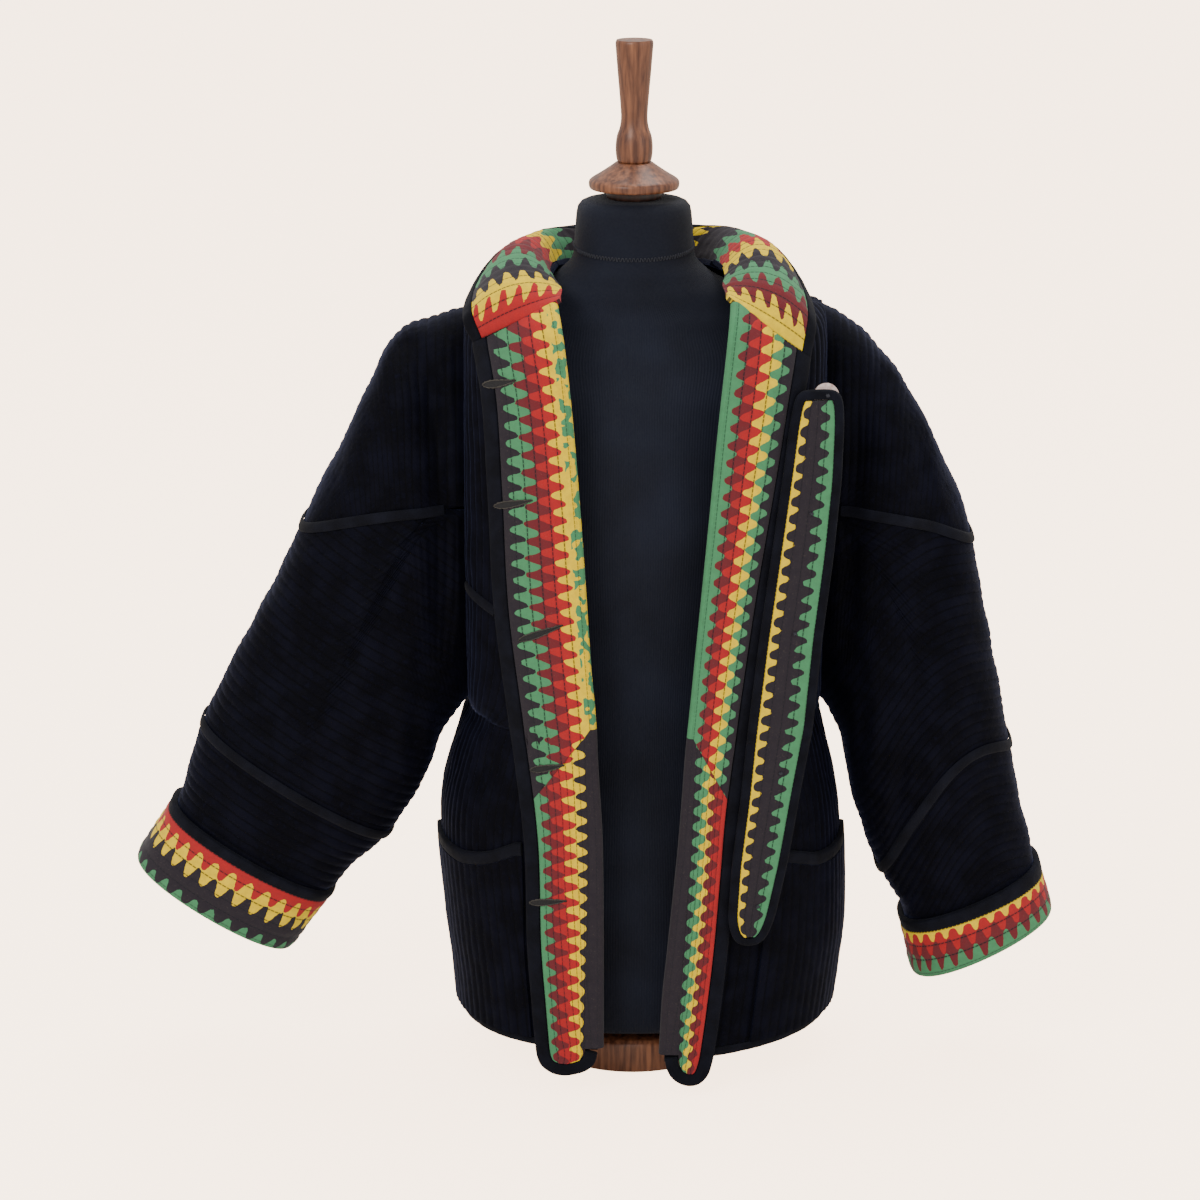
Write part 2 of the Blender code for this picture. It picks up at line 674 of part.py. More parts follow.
def make_cuffs():
    """Turned-back cuffs, lining side out, each with a bound edge."""
    turns = (np.arange(SLEEVE_TURNS) * 360 / SLEEVE_TURNS)[None, :]
    for side in SIDES:
        start = np.full((1, SLEEVE_TURNS), CUFF_START[side])
        end = np.full((1, SLEEVE_TURNS), SLEEVE_END)
        first, *_ = sleeve_frame(side, start, turns)
        last, end_normal, end_down = sleeve_frame(side, end, turns)
        length = np.linalg.norm(last - first, axis=-1)
        taped = start + (SLEEVE_END - start) * (TAPE_WIDTH + SEAM_GAP) / length
        part = np.linspace(0, 1, CUFF_ROWS)[:, None]
        point, out, _ = sleeve_frame(side, taped + (end - taped) * part, turns)
        raised = (ridges(CUFF_ROWS) * LINING_RISE)[:, None, None]
        outer = point + out * (CUFF_LIFT + CLOTH + raised)
        few = (start + SLEEVE_END) / 2
        point, out, _ = sleeve_frame(side, np.concatenate([taped, few, end]), turns)
        inner = point + out * CUFF_LIFT
        rolls = []
        for radius in (CLOTH + CUFF_LIFT / 2, CUFF_LIFT / 2):
            rolls.append(np.concatenate([
                last + end_down * (SEAM_GAP + radius * math.sin(angle))
                + end_normal * (CUFF_LIFT / 2 + radius * math.cos(angle))
                for angle in ROLL_ANGLES
            ]))
        outer = np.concatenate([outer, rolls[0]])
        inner = np.concatenate([inner, rolls[1]])
        shell(f"cuff_{side}", outer, inner, "lining", True)
        proud = CUFF_LIFT + CLOTH + TAPE_PROUD
        short = start + (taped - start) * 0.1
        full = taped - (taped - start) * 0.05
        point, out, _ = sleeve_frame(side, np.concatenate([start, short, full]), turns)
        lifts = np.array([CUFF_LIFT + LIP_RISE, proud, proud])[:, None, None]
        inner = point[1:] + out[1:] * (CUFF_LIFT - TUCK)
        shell(f"cuff_binding_{side}", point + out * lifts, inner, "tape", True)


def over_front(side, plan):
    """Point, outward normal and direction away from the fold, over (x, height) places."""
    level, turn = on_front(side, plan[..., 0], plan[..., 1])
    point, normal, away = body_frame(side, level, turn)
    below = level < 0.001
    point[below, 2] = np.minimum(point[below, 2], plan[below, 1])
    return point, normal, away


def edge_place(side, height):
    """Place on the front's edge line, past the corner, at a height."""
    low, high = EDGE_CORNER[side], len(FRONT_EDGE[side]) - 1.0
    for _ in range(30):
        middle = (low + high) / 2
        if along(FRONT_EDGE[side], middle)[1] < height:
            low = middle
        else:
            high = middle
    return low


def edge_line(side, first, last, count, by):
    """Part of the front's edge line, moved inwards."""
    total = len(FRONT_EDGE[side]) - 1
    places = np.linspace(0, total, 600)
    whole = inset(along(FRONT_EDGE[side], places), by)
    wanted = places[(places > first) & (places < last)]
    wanted = np.concatenate([[first], wanted, [last]])
    line = np.stack([np.interp(wanted, places, column) for column in whole.T], axis=1)
    run = np.concatenate([[0], np.cumsum(np.linalg.norm(np.diff(line, axis=0), axis=1))])
    even = np.linspace(0, run[-1], count)
    return np.stack([np.interp(even, run, column) for column in line.T], axis=1)


def fold_line(side, low, high, count):
    """The fold of a front between two heights, as (x, height)."""
    height = np.linspace(low, high, count)
    level, _ = on_front(side, np.zeros(count), height)
    return np.stack([along(FRONT_ROWS[side], level)[..., 0], height], axis=1)


def edge_at(side, places, by):
    """Points of the front's edge line at places on its list, moved inwards."""
    total = len(FRONT_EDGE[side]) - 1
    fine = np.linspace(0, total, 600)
    whole = inset(along(FRONT_EDGE[side], fine), by)
    return np.stack([np.interp(places, fine, column) for column in whole.T], axis=-1)


TURNED_COLUMNS = 12
TURNED_ROWS = {"lower": 9, "upper": 12}
FACING_START = 2.0     # from the binding's end up to the turned-back part
TOP_CROWDING = 0.6     # under 1 packs the upper piece's rows towards the collar


def make_turned_front(side, name, plan):
    """A turned-back part of a front over its plan, rolled round the fold."""
    plan = plan[:, ::-1]
    point, normal, away = over_front(side, plan)
    raised = (ridges(TURNED_COLUMNS) * LINING_RISE)[None, :, None]
    raised[:, -1] = 0
    outer = point + normal * (TURN_LIFT + CLOTH + raised)
    inner = (point + normal * TURN_LIFT)[:, every(TURNED_COLUMNS, 2)]
    at_fold, out, way = point[:, -1], normal[:, -1], away[:, -1]
    for angle in ROLL_ANGLES:
        for radius in (CLOTH + TURN_LIFT / 2, TURN_LIFT / 2):
            rolled = (
                at_fold - way * (SEAM_GAP + radius * math.sin(angle))
                + out * (TURN_LIFT / 2 + radius * math.cos(angle))
            )[:, None]
            if radius > TURN_LIFT / 2:
                outer = np.concatenate([outer, rolled], axis=1)
            else:
                inner = np.concatenate([inner, rolled], axis=1)
    shell(f"{name}_{side}", outer, inner, "lining")


def make_turned_fronts():
    """Lower and upper turned-back pieces and the binding along their edge."""
    by = TAPE_WIDTH + 3 * SEAM_GAP
    for side in SIDES:
        corner = EDGE_CORNER[side]
        at_fold, at_edge = MITRE[side]
        mitre = edge_place(side, at_edge)
        half = SEAM_GAP / 2
        stations = [np.linspace(0, corner, TURNED_COLUMNS - 1)]
        stations.append(corner + (mitre - corner) * np.linspace(0, 1, TURNED_ROWS["lower"]))
        fold_top, edge_top = COLLAR_SEAM[side]
        last = edge_place(side, edge_top)
        denser = np.linspace(0, 1, TURNED_ROWS["upper"]) ** TOP_CROWDING
        stations.append(mitre + (last - mitre) * denser)
        bottom = edge_at(side, stations[0], by)
        bottom[0, 1] += FACING_START
        bottom = np.concatenate([fold_line(side, bottom[0, 1], 0, 1), bottom])
        right = edge_at(side, stations[1], by)
        left = fold_line(side, bottom[0, 1], at_fold, TURNED_ROWS["lower"])
        top = np.linspace(left[-1], right[-1], TURNED_COLUMNS)
        plan = patch(bottom, top, left, right)
        plan[-1, :, 1] -= half
        make_turned_front(side, "turned_front_lower", plan)
        right = edge_at(side, stations[2], by)
        left = fold_line(side, at_fold, fold_top, 200)[np.rint(denser * 199).astype(int)]
        top = np.linspace(left[-1], right[-1], TURNED_COLUMNS)
        bottom = np.linspace(left[0], right[0], TURNED_COLUMNS)
        plan = patch(bottom, top, left, right)
        plan[0, :, 1] += half
        make_turned_front(side, "turned_front_upper", plan)

        insets = (TAPE_WIDTH, TAPE_WIDTH / 2, 1.2, 0.0)
        places = np.unique(np.concatenate(stations))
        lines = [edge_at(side, places, inset_by) for inset_by in insets]
        plan = np.stack(lines, axis=1)
        point, normal, _ = over_front(side, plan)
        proud = TURN_LIFT + CLOTH + TAPE_PROUD
        lifts = np.array([proud, proud, proud, TURN_LIFT + CLOTH * EDGE_HIGH])[None, :, None]
        outer = point + normal * lifts
        lifts = np.array([TURN_LIFT - TAPE_PROUD, TURN_LIFT - TAPE_PROUD, TURN_LIFT + CLOTH * EDGE_LOW])
        kept = [0, 2, 3]
        inner = point[:, kept] + normal[:, kept] * lifts[None, :, None]
        shell(f"front_binding_{side}", outer, inner, "tape")


def collar_end(side):
    """First row of the collar, on the seam at the top of the turned-back front."""
    fold_top, edge_top = COLLAR_SEAM[side]
    start = fold_line(side, fold_top, fold_top, 1)[0]
    stop = edge_at(side, edge_place(side, edge_top), 0.0)
    plan = np.linspace(start, stop, 3) + (0, COLLAR_GAP)
    point, normal, away = over_front(side, plan)
    lying = point + normal * (TURN_LIFT + CLOTH)
    rolled = point[0] + normal[0] * (TURN_LIFT + CLOTH * 0.8) - away[0] * CLOTH
    roll = 2 * lying[1] - (lying[0] + lying[2]) / 2
    row = np.concatenate([rolled, roll, lying[2]])
    row[0::3] *= SIDES[side]
    return row.tolist()


def collar_grid(sides_places, reach):
    """Lining side of the collar and its normals; reach runs from base to edge."""
    columns = []
    tables = {side: [collar_end(side), *COLLAR_ROWS[side]] for side in SIDES}
    for side, place in sides_places:
        row = along(tables[side], place).reshape(3, 3)
        row[:, 0] *= SIDES[side]
        columns.append(row)
    base, roll, edge = (np.stack([column[i] for column in columns]) for i in range(3))
    reach = np.asarray(reach, float)[..., None]
    point = (1 - reach) ** 2 * base + 2 * reach * (1 - reach) * roll + reach**2 * edge
    up = 2 * (1 - reach) * (roll - base) + 2 * reach * (edge - roll)
    along_it = np.gradient(point, axis=1)
    return point, unit(np.cross(along_it, up)), unit(up)


COLLAR_HALF = 11
COLLAR_GAP = 2.3        # above the seam with the turned-back front
COLLAR_RIDGES = 9


def make_collar():
    """The collar and the binding along its edge."""
    places = np.linspace(0, len(COLLAR_ROWS["left"]), COLLAR_HALF + 1)
    where = [("left", p) for p in places] + [("right", p) for p in places[-2::-1]]
    shape, *_ = collar_grid(where, np.linspace(0, 1, 12)[:, None] * np.ones(len(where)))
    span = np.linalg.norm(np.diff(shape, axis=0), axis=-1).sum(axis=0)
    taped = 1 - TAPE_WIDTH / span * 0.95
    reach = np.linspace(0, 1, COLLAR_RIDGES)[:, None] * taped[None, :]
    point, normal, up = collar_grid(where, reach)
    raised = (ridges(COLLAR_RIDGES) * LINING_RISE)[:, None, None]
    inner = (point - normal * CLOTH)[every(COLLAR_RIDGES, 2)]
    shell("collar", point + normal * raised, inner, "lining")
    across = square_to(point[-1], normal[-1])
    across *= np.sign(np.sum(across * up[-1], axis=-1, keepdims=True))
    first = point[-1] + across * 2 * SEAM_GAP, normal[-1]
    reach = np.stack([taped, (taped + 1) / 2, 1 - 1.2 / span, np.ones(len(where))])
    point, normal, _ = collar_grid(where, reach)
    point[0], normal[0] = first
    lifts = np.array([TAPE_PROUD, TAPE_PROUD, TAPE_PROUD, -CLOTH * EDGE_LOW])[:, None, None]
    depths = np.array([-CLOTH * 0.6, TAPE_PROUD, -CLOTH * EDGE_LOW])[:, None, None]
    kept = [0, 2, 3]
    inner = point[kept] - normal[kept] * (CLOTH + depths)
    shell("collar_binding", point + normal * lifts, inner, "tape")


def make_pockets():
    """Patch pockets with their bound mouths."""
    columns, rows = 15, 5
    for side in SIDES:
        mouth = np.array(POCKET_MOUTH[side], float)
        level, turn = on_front(side, mouth[:, 0], mouth[:, 1])
        places = np.stack([level, np.maximum(turn, POCKET_SIDE)], axis=1)
        places[0, 1] = POCKET_SIDE
        top = spaced(places, columns)
        edge = edge_line(side, EDGE_CORNER[side], edge_place(side, mouth[-1, 1]), rows * 3,
                         -POCKET_CLEAR[side])
        edge_level, edge_turn = on_front(side, edge[:, 0], edge[:, 1])
        low_level = HEM_LEVEL + 0.01
        right = np.stack([np.linspace(low_level, top[-1, 0], rows), np.linspace(
            edge_turn[0], top[-1, 1], rows)], axis=1)
        right[:, 1] = np.interp(right[:, 0], edge_level, edge_turn)
        top[-1, 1] = right[-1, 1]
        left = np.stack([np.linspace(low_level, top[0, 0], rows), np.full(rows, POCKET_SIDE)], axis=1)
        bottom = np.linspace(left[0], right[0], columns)
        grid = patch(bottom, top, left, right)
        point, normal, away = body_frame(side, grid[..., 0], grid[..., 1])
        rise = unit(np.gradient(point, axis=0))
        taped = point[-1] - rise[-1] * (TAPE_WIDTH + SEAM_GAP)
        body = np.concatenate([point[:-1], taped[None]])
        raised = ridges(columns) * POCKET_RISE
        raised[0] = raised[-1] = 0
        outer = body + normal * (POCKET_LIFT + POCKET_THICK + raised[None, :, None])
        shell(f"pocket_{side}", outer, body + normal * POCKET_LIFT, "velvet")
        proud = POCKET_LIFT + POCKET_THICK + TAPE_PROUD
        base, out, lift = point[-1], normal[-1], rise[-1]
        outer = np.stack([base - lift * TAPE_WIDTH + out * proud, base - lift + out * proud,
                          base + out * (POCKET_LIFT + LIP_RISE)])
        inner = np.stack([base - lift * TAPE_WIDTH + out * (POCKET_LIFT - TUCK),
                          base - lift + out * (POCKET_LIFT - TUCK)])
        shell(f"pocket_binding_{side}", outer, inner, "tape")


SEAM_TAPE_LIFT = {"left": 1.35, "right": 1.5}
YOKE_TAPE_LIFT = 0.7


def seam_tape(name, point, normal, across, low, ring=False):
    """A tape along a line of points, a small height over the cloth."""
    half = SEAM_TAPE_WIDTH / 2
    high = low + SEAM_TAPE_THICK
    outer = np.stack([point + across * along_it + normal * lift for along_it, lift in (
        (-half, low + 0.5), (0, high), (half, low + 0.5),
    )])
    inner = np.stack([point + across * along_it + normal * low for along_it in (-half + 0.5, half - 0.5)])
    shell(name, outer, inner, "tape", ring)


def make_seam_tapes():
    """Bound seams over the sleeves and along the yokes."""
    step = 360 / SLEEVE_TURNS
    turns = np.arange(SLEEVE_TURNS) * step
    for side in SIDES:
        over = turns[upper_seam(side, turns) > 0]
        point, normal, down = sleeve_frame(side, upper_seam(side, over), over)
        lift = SEAM_TAPE_LIFT[side]
        seam_tape(f"seam_tape_upper_{side}", point, normal, square_to(point, normal), lift)
        point, normal, down = sleeve_frame(side, lower_seam(side, turns), turns)
        seam_tape(f"seam_tape_lower_{side}", point, normal, square_to(point, normal, True), lift, True)
        edge = edge_line(side, edge_place(side, 300), edge_place(side, 600), 60, -2.0)
        level, turn = on_front(side, edge[:, 0], edge[:, 1])
        stop = np.interp(SEAM_ROW, level, turn)
        reach = np.linspace(0.1, stop, 9)
        point, normal, _ = body_frame(side, SEAM_ROW, reach)
        seam_tape(f"yoke_tape_front_{side}", point, normal, square_to(point, normal), YOKE_TAPE_LIFT)
    reach = np.linspace(0.1, 1, BODY_TURNS // 2 + 2)
    halves = [body_frame(side, SEAM_ROW, reach, True)[:2] for side in SIDES]
    point, normal = (np.concatenate([a, b[-2::-1]]) for a, b in zip(*halves))
    seam_tape("yoke_tape_back", point, normal, square_to(point, normal), YOKE_TAPE_LIFT)


def square_to(point, normal, ring=False):
    """Direction across a line of points, in the surface."""
    if ring:
        way = np.roll(point, -1, axis=0) - np.roll(point, 1, axis=0)
    else:
        way = np.gradient(point, axis=0)
    return unit(np.cross(normal, way))


def strip_depth(plan):
    """y of the strip's hidden face over (x, height) places on the right."""
    rows = np.array(STRIP_ROWS, float)
    inner_x = np.interp(plan[..., 1], rows[:, 0], rows[:, 1])
    point, normal, _ = over_front("right", np.stack([inner_x, plan[..., 1]], axis=-1))
    clear = TURN_LIFT + CLOTH + TAPE_PROUD + STRIP_LIFT
    start = point[..., 1] + clear / normal[..., 1]
    return start + (plan[..., 0] - inner_x) * STRIP_SLOPE


def make_strip():
    """The button strip on the right front, its binding and its buttons."""
    rows = np.array(STRIP_ROWS, float)
    down = rows[::-1, [1, 0]]
    outline = np.concatenate([down, rows[:, [2, 0]]])
    line = spaced(np.concatenate([outline, outline[:1]]), 39)[:-1]
    closed = np.concatenate([line[-1:], line, line[:1]])
    way = unit(closed[2:] - closed[:-2])
    inward = np.stack([-way[:, 1], way[:, 0]], axis=1)
    proud = TAPE_PROUD / 2
    rings = []
    for by, lift in (
        (STRIP_TAPE, CLOTH + proud), (STRIP_TAPE / 2, CLOTH + proud), (1, CLOTH + proud), (0, CLOTH * EDGE_HIGH),
    ):
        plan = line + inward * by
        rings.append(np.stack([plan[:, 0], strip_depth(plan) - lift, plan[:, 1]], axis=1))
    behind = []
    for by, lift in ((STRIP_TAPE, -proud), (1, -proud), (0, CLOTH * EDGE_LOW)):
        plan = line + inward * by
        behind.append(np.stack([plan[:, 0], strip_depth(plan) - lift, plan[:, 1]], axis=1))
    shell("strip_binding", np.stack(rings), np.stack(behind), "tape", True)

    inside = line + inward * (STRIP_TAPE + SEAM_GAP)
    low, high = inside[:, 1].argmin(), inside[:, 1].argmax()
    order = np.roll(inside, -high, axis=0)
    turn_place = order[:, 1].argmin()
    falling, rising = order[:turn_place + 1], order[turn_place:]
    heights = np.linspace(inside[low, 1] + 3, inside[high, 1] - 1.5, 16)
    left = np.interp(heights, falling[::-1, 1], falling[::-1, 0])
    right = np.interp(heights, np.append(rising[:, 1], order[0, 1]), np.append(rising[:, 0], order[0, 0]))
    part = np.linspace(0, 1, 9)[None, :]
    x = left[:, None] + (right - left)[:, None] * part
    plan = np.stack([x, np.broadcast_to(heights[:, None], x.shape)], axis=-1)
    back = strip_depth(plan)
    raised = (ridges(9) * LINING_RISE)[None, :]
    outer = np.stack([x, back - CLOTH - raised, plan[..., 1]], axis=-1)
    inner = np.stack([x, back, plan[..., 1]], axis=-1)[:, every(9, 4)]
    shell("strip", outer, inner, "lining")

    for number, (x, z, gap) in enumerate(BUTTONS, 1):
        reach = BUTTON_RADIUS
        levels = strip_depth(np.array([(x, z), (x, z - reach), (x, z + reach)], float))
        y = levels[0]
        upward = unit(np.array([0.0, levels[2] - levels[1], 2 * reach]))
        beside = unit(np.array([1.0, STRIP_SLOPE, 0.0]))
        forward = unit(np.cross(beside, upward))
        beside = np.cross(upward, forward)
        middle = np.array([x, y, z]) - forward * gap
        profile = ((0, BUTTON_RADIUS), (BUTTON_THICK - 1.2, BUTTON_RADIUS), (BUTTON_THICK, 8))
        turned(f"button_{number}", profile, "shell", BUTTON_SIDES, middle, -forward, beside)


def turned(name, profile, finish, sides, middle, axis, start):
    """A solid turned round an axis; the profile gives distance along it and radius."""
    middle, axis, start = (np.asarray(v, float) for v in (middle, axis, start))
    other = np.cross(axis, start)
    angles = np.arange(sides) * 2 * math.pi / sides
    points = []
    for distance, radius in profile:
        for angle in angles:
            out = start * math.cos(angle) + other * math.sin(angle)
            points.append(middle + axis * distance + out * radius)
    faces = [tuple(range(sides)), tuple(len(points) - 1 - i for i in range(sides))]
    for ring in range(len(profile) - 1):
        for i in range(sides):
            j = (i + 1) % sides
            faces.append((ring * sides + i, ring * sides + j, (ring + 1) * sides + j, (ring + 1) * sides + i))
    return make_object(name, [p.tolist() for p in points], faces, finish)


def make_form():
    """Dress form: jersey torso, neck ring, wooden cap, finial and base."""
    points = []
    for height, half_width, half_depth, forward, roundness in FORM_ROWS:
        for i in range(FORM_SIDES):
            angle = i * 2 * math.pi / FORM_SIDES
            c, s = math.cos(angle), math.sin(angle)
            x = half_width * math.copysign(abs(c) ** (2 / roundness), c)
            y = half_depth * math.copysign(abs(s) ** (2 / roundness), s) - forward
            points.append((x, y, height))
    count = FORM_SIDES
    faces = [tuple(range(count)), tuple(len(points) - 1 - i for i in range(count))]
    for ring in range(len(FORM_ROWS) - 1):
        for i in range(count):
            j = (i + 1) % count
            faces.append((ring * count + i, ring * count + j, (ring + 1) * count + j, (ring + 1) * count + i))
    make_object("form_body", points, faces, "jersey")
    neck = (0, NECK_AXIS_Y, 0)
    for name, profile, finish in (
        ("form_neck_ring", NECK_RING, "dark_wood"),
        ("form_neck_cap", NECK_CAP, "wood"),
        ("form_finial", FINIAL, "wood"),
    ):
        turned(name, profile, finish, TURNED_SIDES, neck, (0, 0, 1), (1, 0, 0))
    turned("form_base", BASE, "wood", TURNED_SIDES, (0, 0, 0), (0, 0, 1), (1, 0, 0))


def clear_scene():
    """Removes every object of the scene."""
    for found in list(bpy.data.objects):
        bpy.data.objects.remove(found, do_unlink=True)


clear_scene()
make_form()
make_body()
make_hems()
make_sleeves()
make_cuffs()
make_turned_fronts()
make_collar()
make_pockets()
make_seam_tapes()
make_strip()
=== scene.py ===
"""Looks for the quilted velvet jacket on its dress form.

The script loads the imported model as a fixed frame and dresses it. Every piece
of cloth is a fine, thin wall on the form of the solid that it replaces, worked
out from the same small tables in millimetres. "Left" and "right" are the
viewer's, the object faces -Y, and +Z is up.
"""
import logging
import math
from dataclasses import dataclass
from enum import Enum

import bmesh
import bpy
import numpy as np
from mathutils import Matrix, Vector


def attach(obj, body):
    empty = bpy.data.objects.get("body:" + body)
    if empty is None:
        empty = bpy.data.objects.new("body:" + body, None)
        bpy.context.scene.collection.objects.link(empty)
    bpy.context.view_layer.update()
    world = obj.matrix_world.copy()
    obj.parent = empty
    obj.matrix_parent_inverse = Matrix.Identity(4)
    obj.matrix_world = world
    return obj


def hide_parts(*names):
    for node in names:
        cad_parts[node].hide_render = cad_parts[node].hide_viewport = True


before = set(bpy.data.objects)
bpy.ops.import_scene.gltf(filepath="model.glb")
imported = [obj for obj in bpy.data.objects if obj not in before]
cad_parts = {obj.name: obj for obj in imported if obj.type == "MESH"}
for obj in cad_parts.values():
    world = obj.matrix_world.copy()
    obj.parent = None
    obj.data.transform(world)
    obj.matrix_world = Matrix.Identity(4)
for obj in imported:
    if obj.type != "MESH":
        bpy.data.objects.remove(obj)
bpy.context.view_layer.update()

LOG = logging.getLogger("jacket")
Array = np.ndarray
MM = 0.001

CLOTH = 4.0            # quilted wall
SEAM_GAP = 0.3
TURN_LIFT = 3.0        # between a front and the part turned back over it
TAPE_WIDTH = 12.0
TAPE_PROUD = 0.8
VELVET_PITCH = 9.5     # between the sewn lines of the velvet
VELVET_RISE = 1.5
LINING_PITCH = 11.5    # between the sewn lines of the lining
LINING_RISE = 0.9
STITCHES = 240.0       # to the metre
CHANNEL_POWER = 0.62   # roundness of the quilted channels
ARM_COLUMNS = 112      # columns round a sleeve
ARM_SPREAD = 1.25      # millimetres of cloth to a degree round an arm
TOUCH = 1e-9
UNDERARM_Z = 351.0
ARMHOLE_DEPTH = 72.0
LOOP_POWER = 0.7
SECTION_ROUND = 2.3
SEAM_ROW = 7
UNDERARM_ROW = 5
NECK_ROW = 11
HEM_LEVEL = 0.23
SLEEVE_END = 10.0
ROLL_ANGLES = np.radians([20, 45, 70, 95, 120, 145, 165, 180])


class Side(Enum):
    """The viewer's sides."""

    LEFT = "left"
    RIGHT = "right"

    @property
    def sign(self) -> float:
        """Direction of x outwards on this side."""
        return -1.0 if self is Side.LEFT else 1.0


class Held(Enum):
    """How a sheet of cloth is held."""

    HUNG = "hung"
    FOLDED = "folded"
    STRETCHED = "stretched"


SHOULDER_Z = {Side.LEFT: 717.0, Side.RIGHT: 720.0}
ARMHOLE_X = {Side.LEFT: 152.0, Side.RIGHT: 172.0}

# Levels of the fronts from hem to shoulder: fold x, y, z, then side x, z
FRONT_ROWS = {
    Side.LEFT: (
        (33, -136, 44, 164, 47), (33, -138, 98, 168, 98), (33, -139, 150, 174, 148),
        (34, -141, 250, 180, 250), (38, -142, 325, 161, 325), (39, -142, 351, 152, 351),
        (41, -142, 385, 152, 410), (44, -142, 425, 152, 478), (52, -141, 540, 152, 560),
        (60, -139, 640, 152, 630), (67, -130, 705, 152, 680), (73, -104, 740, 152, 706),
        (76, -55, 756, 152, 715.5), (70, 0, 760, 152, 717),
    ),
    Side.RIGHT: (
        (29, -136, 32, 188, 46), (32, -138, 96, 194, 96), (37, -139, 150, 198, 148),
        (46, -141, 250, 193, 250), (51, -142, 325, 177, 325), (53, -142, 351, 172, 351),
        (56, -142, 385, 172, 410), (59, -142, 425, 172, 478), (70, -141, 540, 172, 560),
        (79, -139, 640, 172, 632), (86, -130, 707, 172, 682), (89, -104, 742, 172, 709),
        (86, -55, 758, 172, 718.5), (72, 0, 762, 172, 720),
    ),
}
# Centre of the back by level, running on along the neckline: x, y, z
BACK_ROWS = (
    (0, 118, 45), (0, 121, 98), (0, 123, 148), (0, 122, 250), (0, 119, 325), (0, 118, 351),
    (0, 119, 400), (0, 122, 460), (0, 124, 555), (0, 116, 640), (0, 92, 706), (0, 66, 744),
    (48, 56, 752), (70, 0, 760),
)
# Sections of the sleeves: top x, z, low x, z, half depth, swing forwards
SLEEVE_ROWS = {
    Side.LEFT: (
        (152, 717, 152, 351, 70, 0), (186, 706, 161, 343, 80, 2), (219, 690, 170, 331, 84, 5),
        (256, 616, 182, 309, 84, 10), (304, 520, 191, 288, 80, 16), (343, 443, 203, 264, 76, 20),
        (379, 375, 219, 239, 72, 22), (400, 333, 232, 221, 68, 23), (417, 285, 262, 192, 63, 24),
        (429, 250, 288, 164, 58, 24), (462, 199, 326, 113, 56, 24),
    ),
    Side.RIGHT: (
        (172, 720, 172, 351, 70, 0), (197, 705, 182, 342, 80, 2), (222, 683, 191, 322, 85, 5),
        (255, 636, 200, 294, 86, 10), (298, 547, 207, 258, 82, 16), (319, 470, 215, 234, 78, 20),
        (332, 402, 222, 214, 74, 22), (347, 330, 232, 190, 68, 23), (362, 262, 246, 165, 62, 24),
        (378, 196, 257, 140, 57, 24), (392, 148, 270, 86, 55, 24),
    ),
}
# Creases of the sleeves: points x, z down the crease, depth, half width
CREASES = {
    Side.LEFT: ((((214, 706), (184, 650), (170, 602), (166, 545), (166, 430)), 13.0, 17.0),),
    Side.RIGHT: (
        (((242, 680), (214, 650), (196, 612), (191, 540), (190, 420)), 9.0, 17.0),
        (((238, 684), (258, 600), (274, 500), (258, 360), (247, 285), (256, 180)), 5.0, 13.0),
    ),
}
CREASE_START = 8.0
CREASE_FADE = 22.0
UPPER_SEAM_Z = 546.0
UPPER_SEAM_FALL = {Side.LEFT: 26.0, Side.RIGHT: 36.0}
# Section number of the lower seam on top, below, and its bow between
LOWER_SEAM = {Side.LEFT: (7.0, 6.85, 0.0), Side.RIGHT: (7.25, 7.05, -0.75)}
CUFF_START = {Side.LEFT: 8.9, Side.RIGHT: 9.0}
# Outer edge of the turned-back fronts from the fold's foot to the collar: x, z
FRONT_EDGE = {
    Side.LEFT: (
        (33, 43), (36, 33), (43, 26), (53, 22), (64, 20), (75, 22), (84, 29), (88, 40), (90, 62),
        (92, 90), (96, 150), (98, 245), (106, 331), (122, 463), (127, 573), (131, 655), (139, 699),
    ),
    Side.RIGHT: (
        (29, 38), (31, 27), (36, 18), (44, 12), (53, 10), (61, 12), (68, 19), (72, 30), (75, 48),
        (80, 90), (86, 150), (91, 220), (97, 300), (117, 463), (133, 573), (144, 650), (151, 690),
    ),
}
EDGE_CORNER = 6.0
MITRE = {Side.LEFT: (361, 291), Side.RIGHT: (352, 292)}
COLLAR_SEAM = {Side.LEFT: (736, 699), Side.RIGHT: (737, 690)}
# Collar from its front end to the middle of the back: base, roll, edge
COLLAR_ROWS = {
    Side.LEFT: (
        (70, -86, 752.5, 114, -112, 768, 153, -92, 724), (76, -54, 759, 112, -66, 793, 150, -48, 737),
        (77, -20, 759.5, 100, -24, 801, 132, -18, 761), (72, 14, 758, 86, 20, 798, 108, 14, 771),
        (54, 47, 756.3, 64, 56, 789, 86, 42, 779), (27, 62, 752.6, 30, 69, 776, 50, 72, 781),
        (0, 66, 746.5, 0, 73, 770, 0, 82, 782),
    ),
    Side.RIGHT: (
        (83, -86, 755, 126, -114, 770, 161, -96, 722), (85, -54, 761, 121, -68, 796, 156, -50, 740),
        (82, -20, 764, 110, -24, 804, 139, -18, 763), (74, 14, 760.5, 94, 20, 800, 119, 14, 773),
        (55, 47, 756.3, 70, 56, 790, 95, 42, 781), (27, 62, 752.6, 34, 69, 777, 54, 72, 781),
        (0, 66, 746.5, 0, 73, 770, 0, 82, 782),
    ),
}
COLLAR_GAP = 2.3
COLLAR_REACH = 60.0
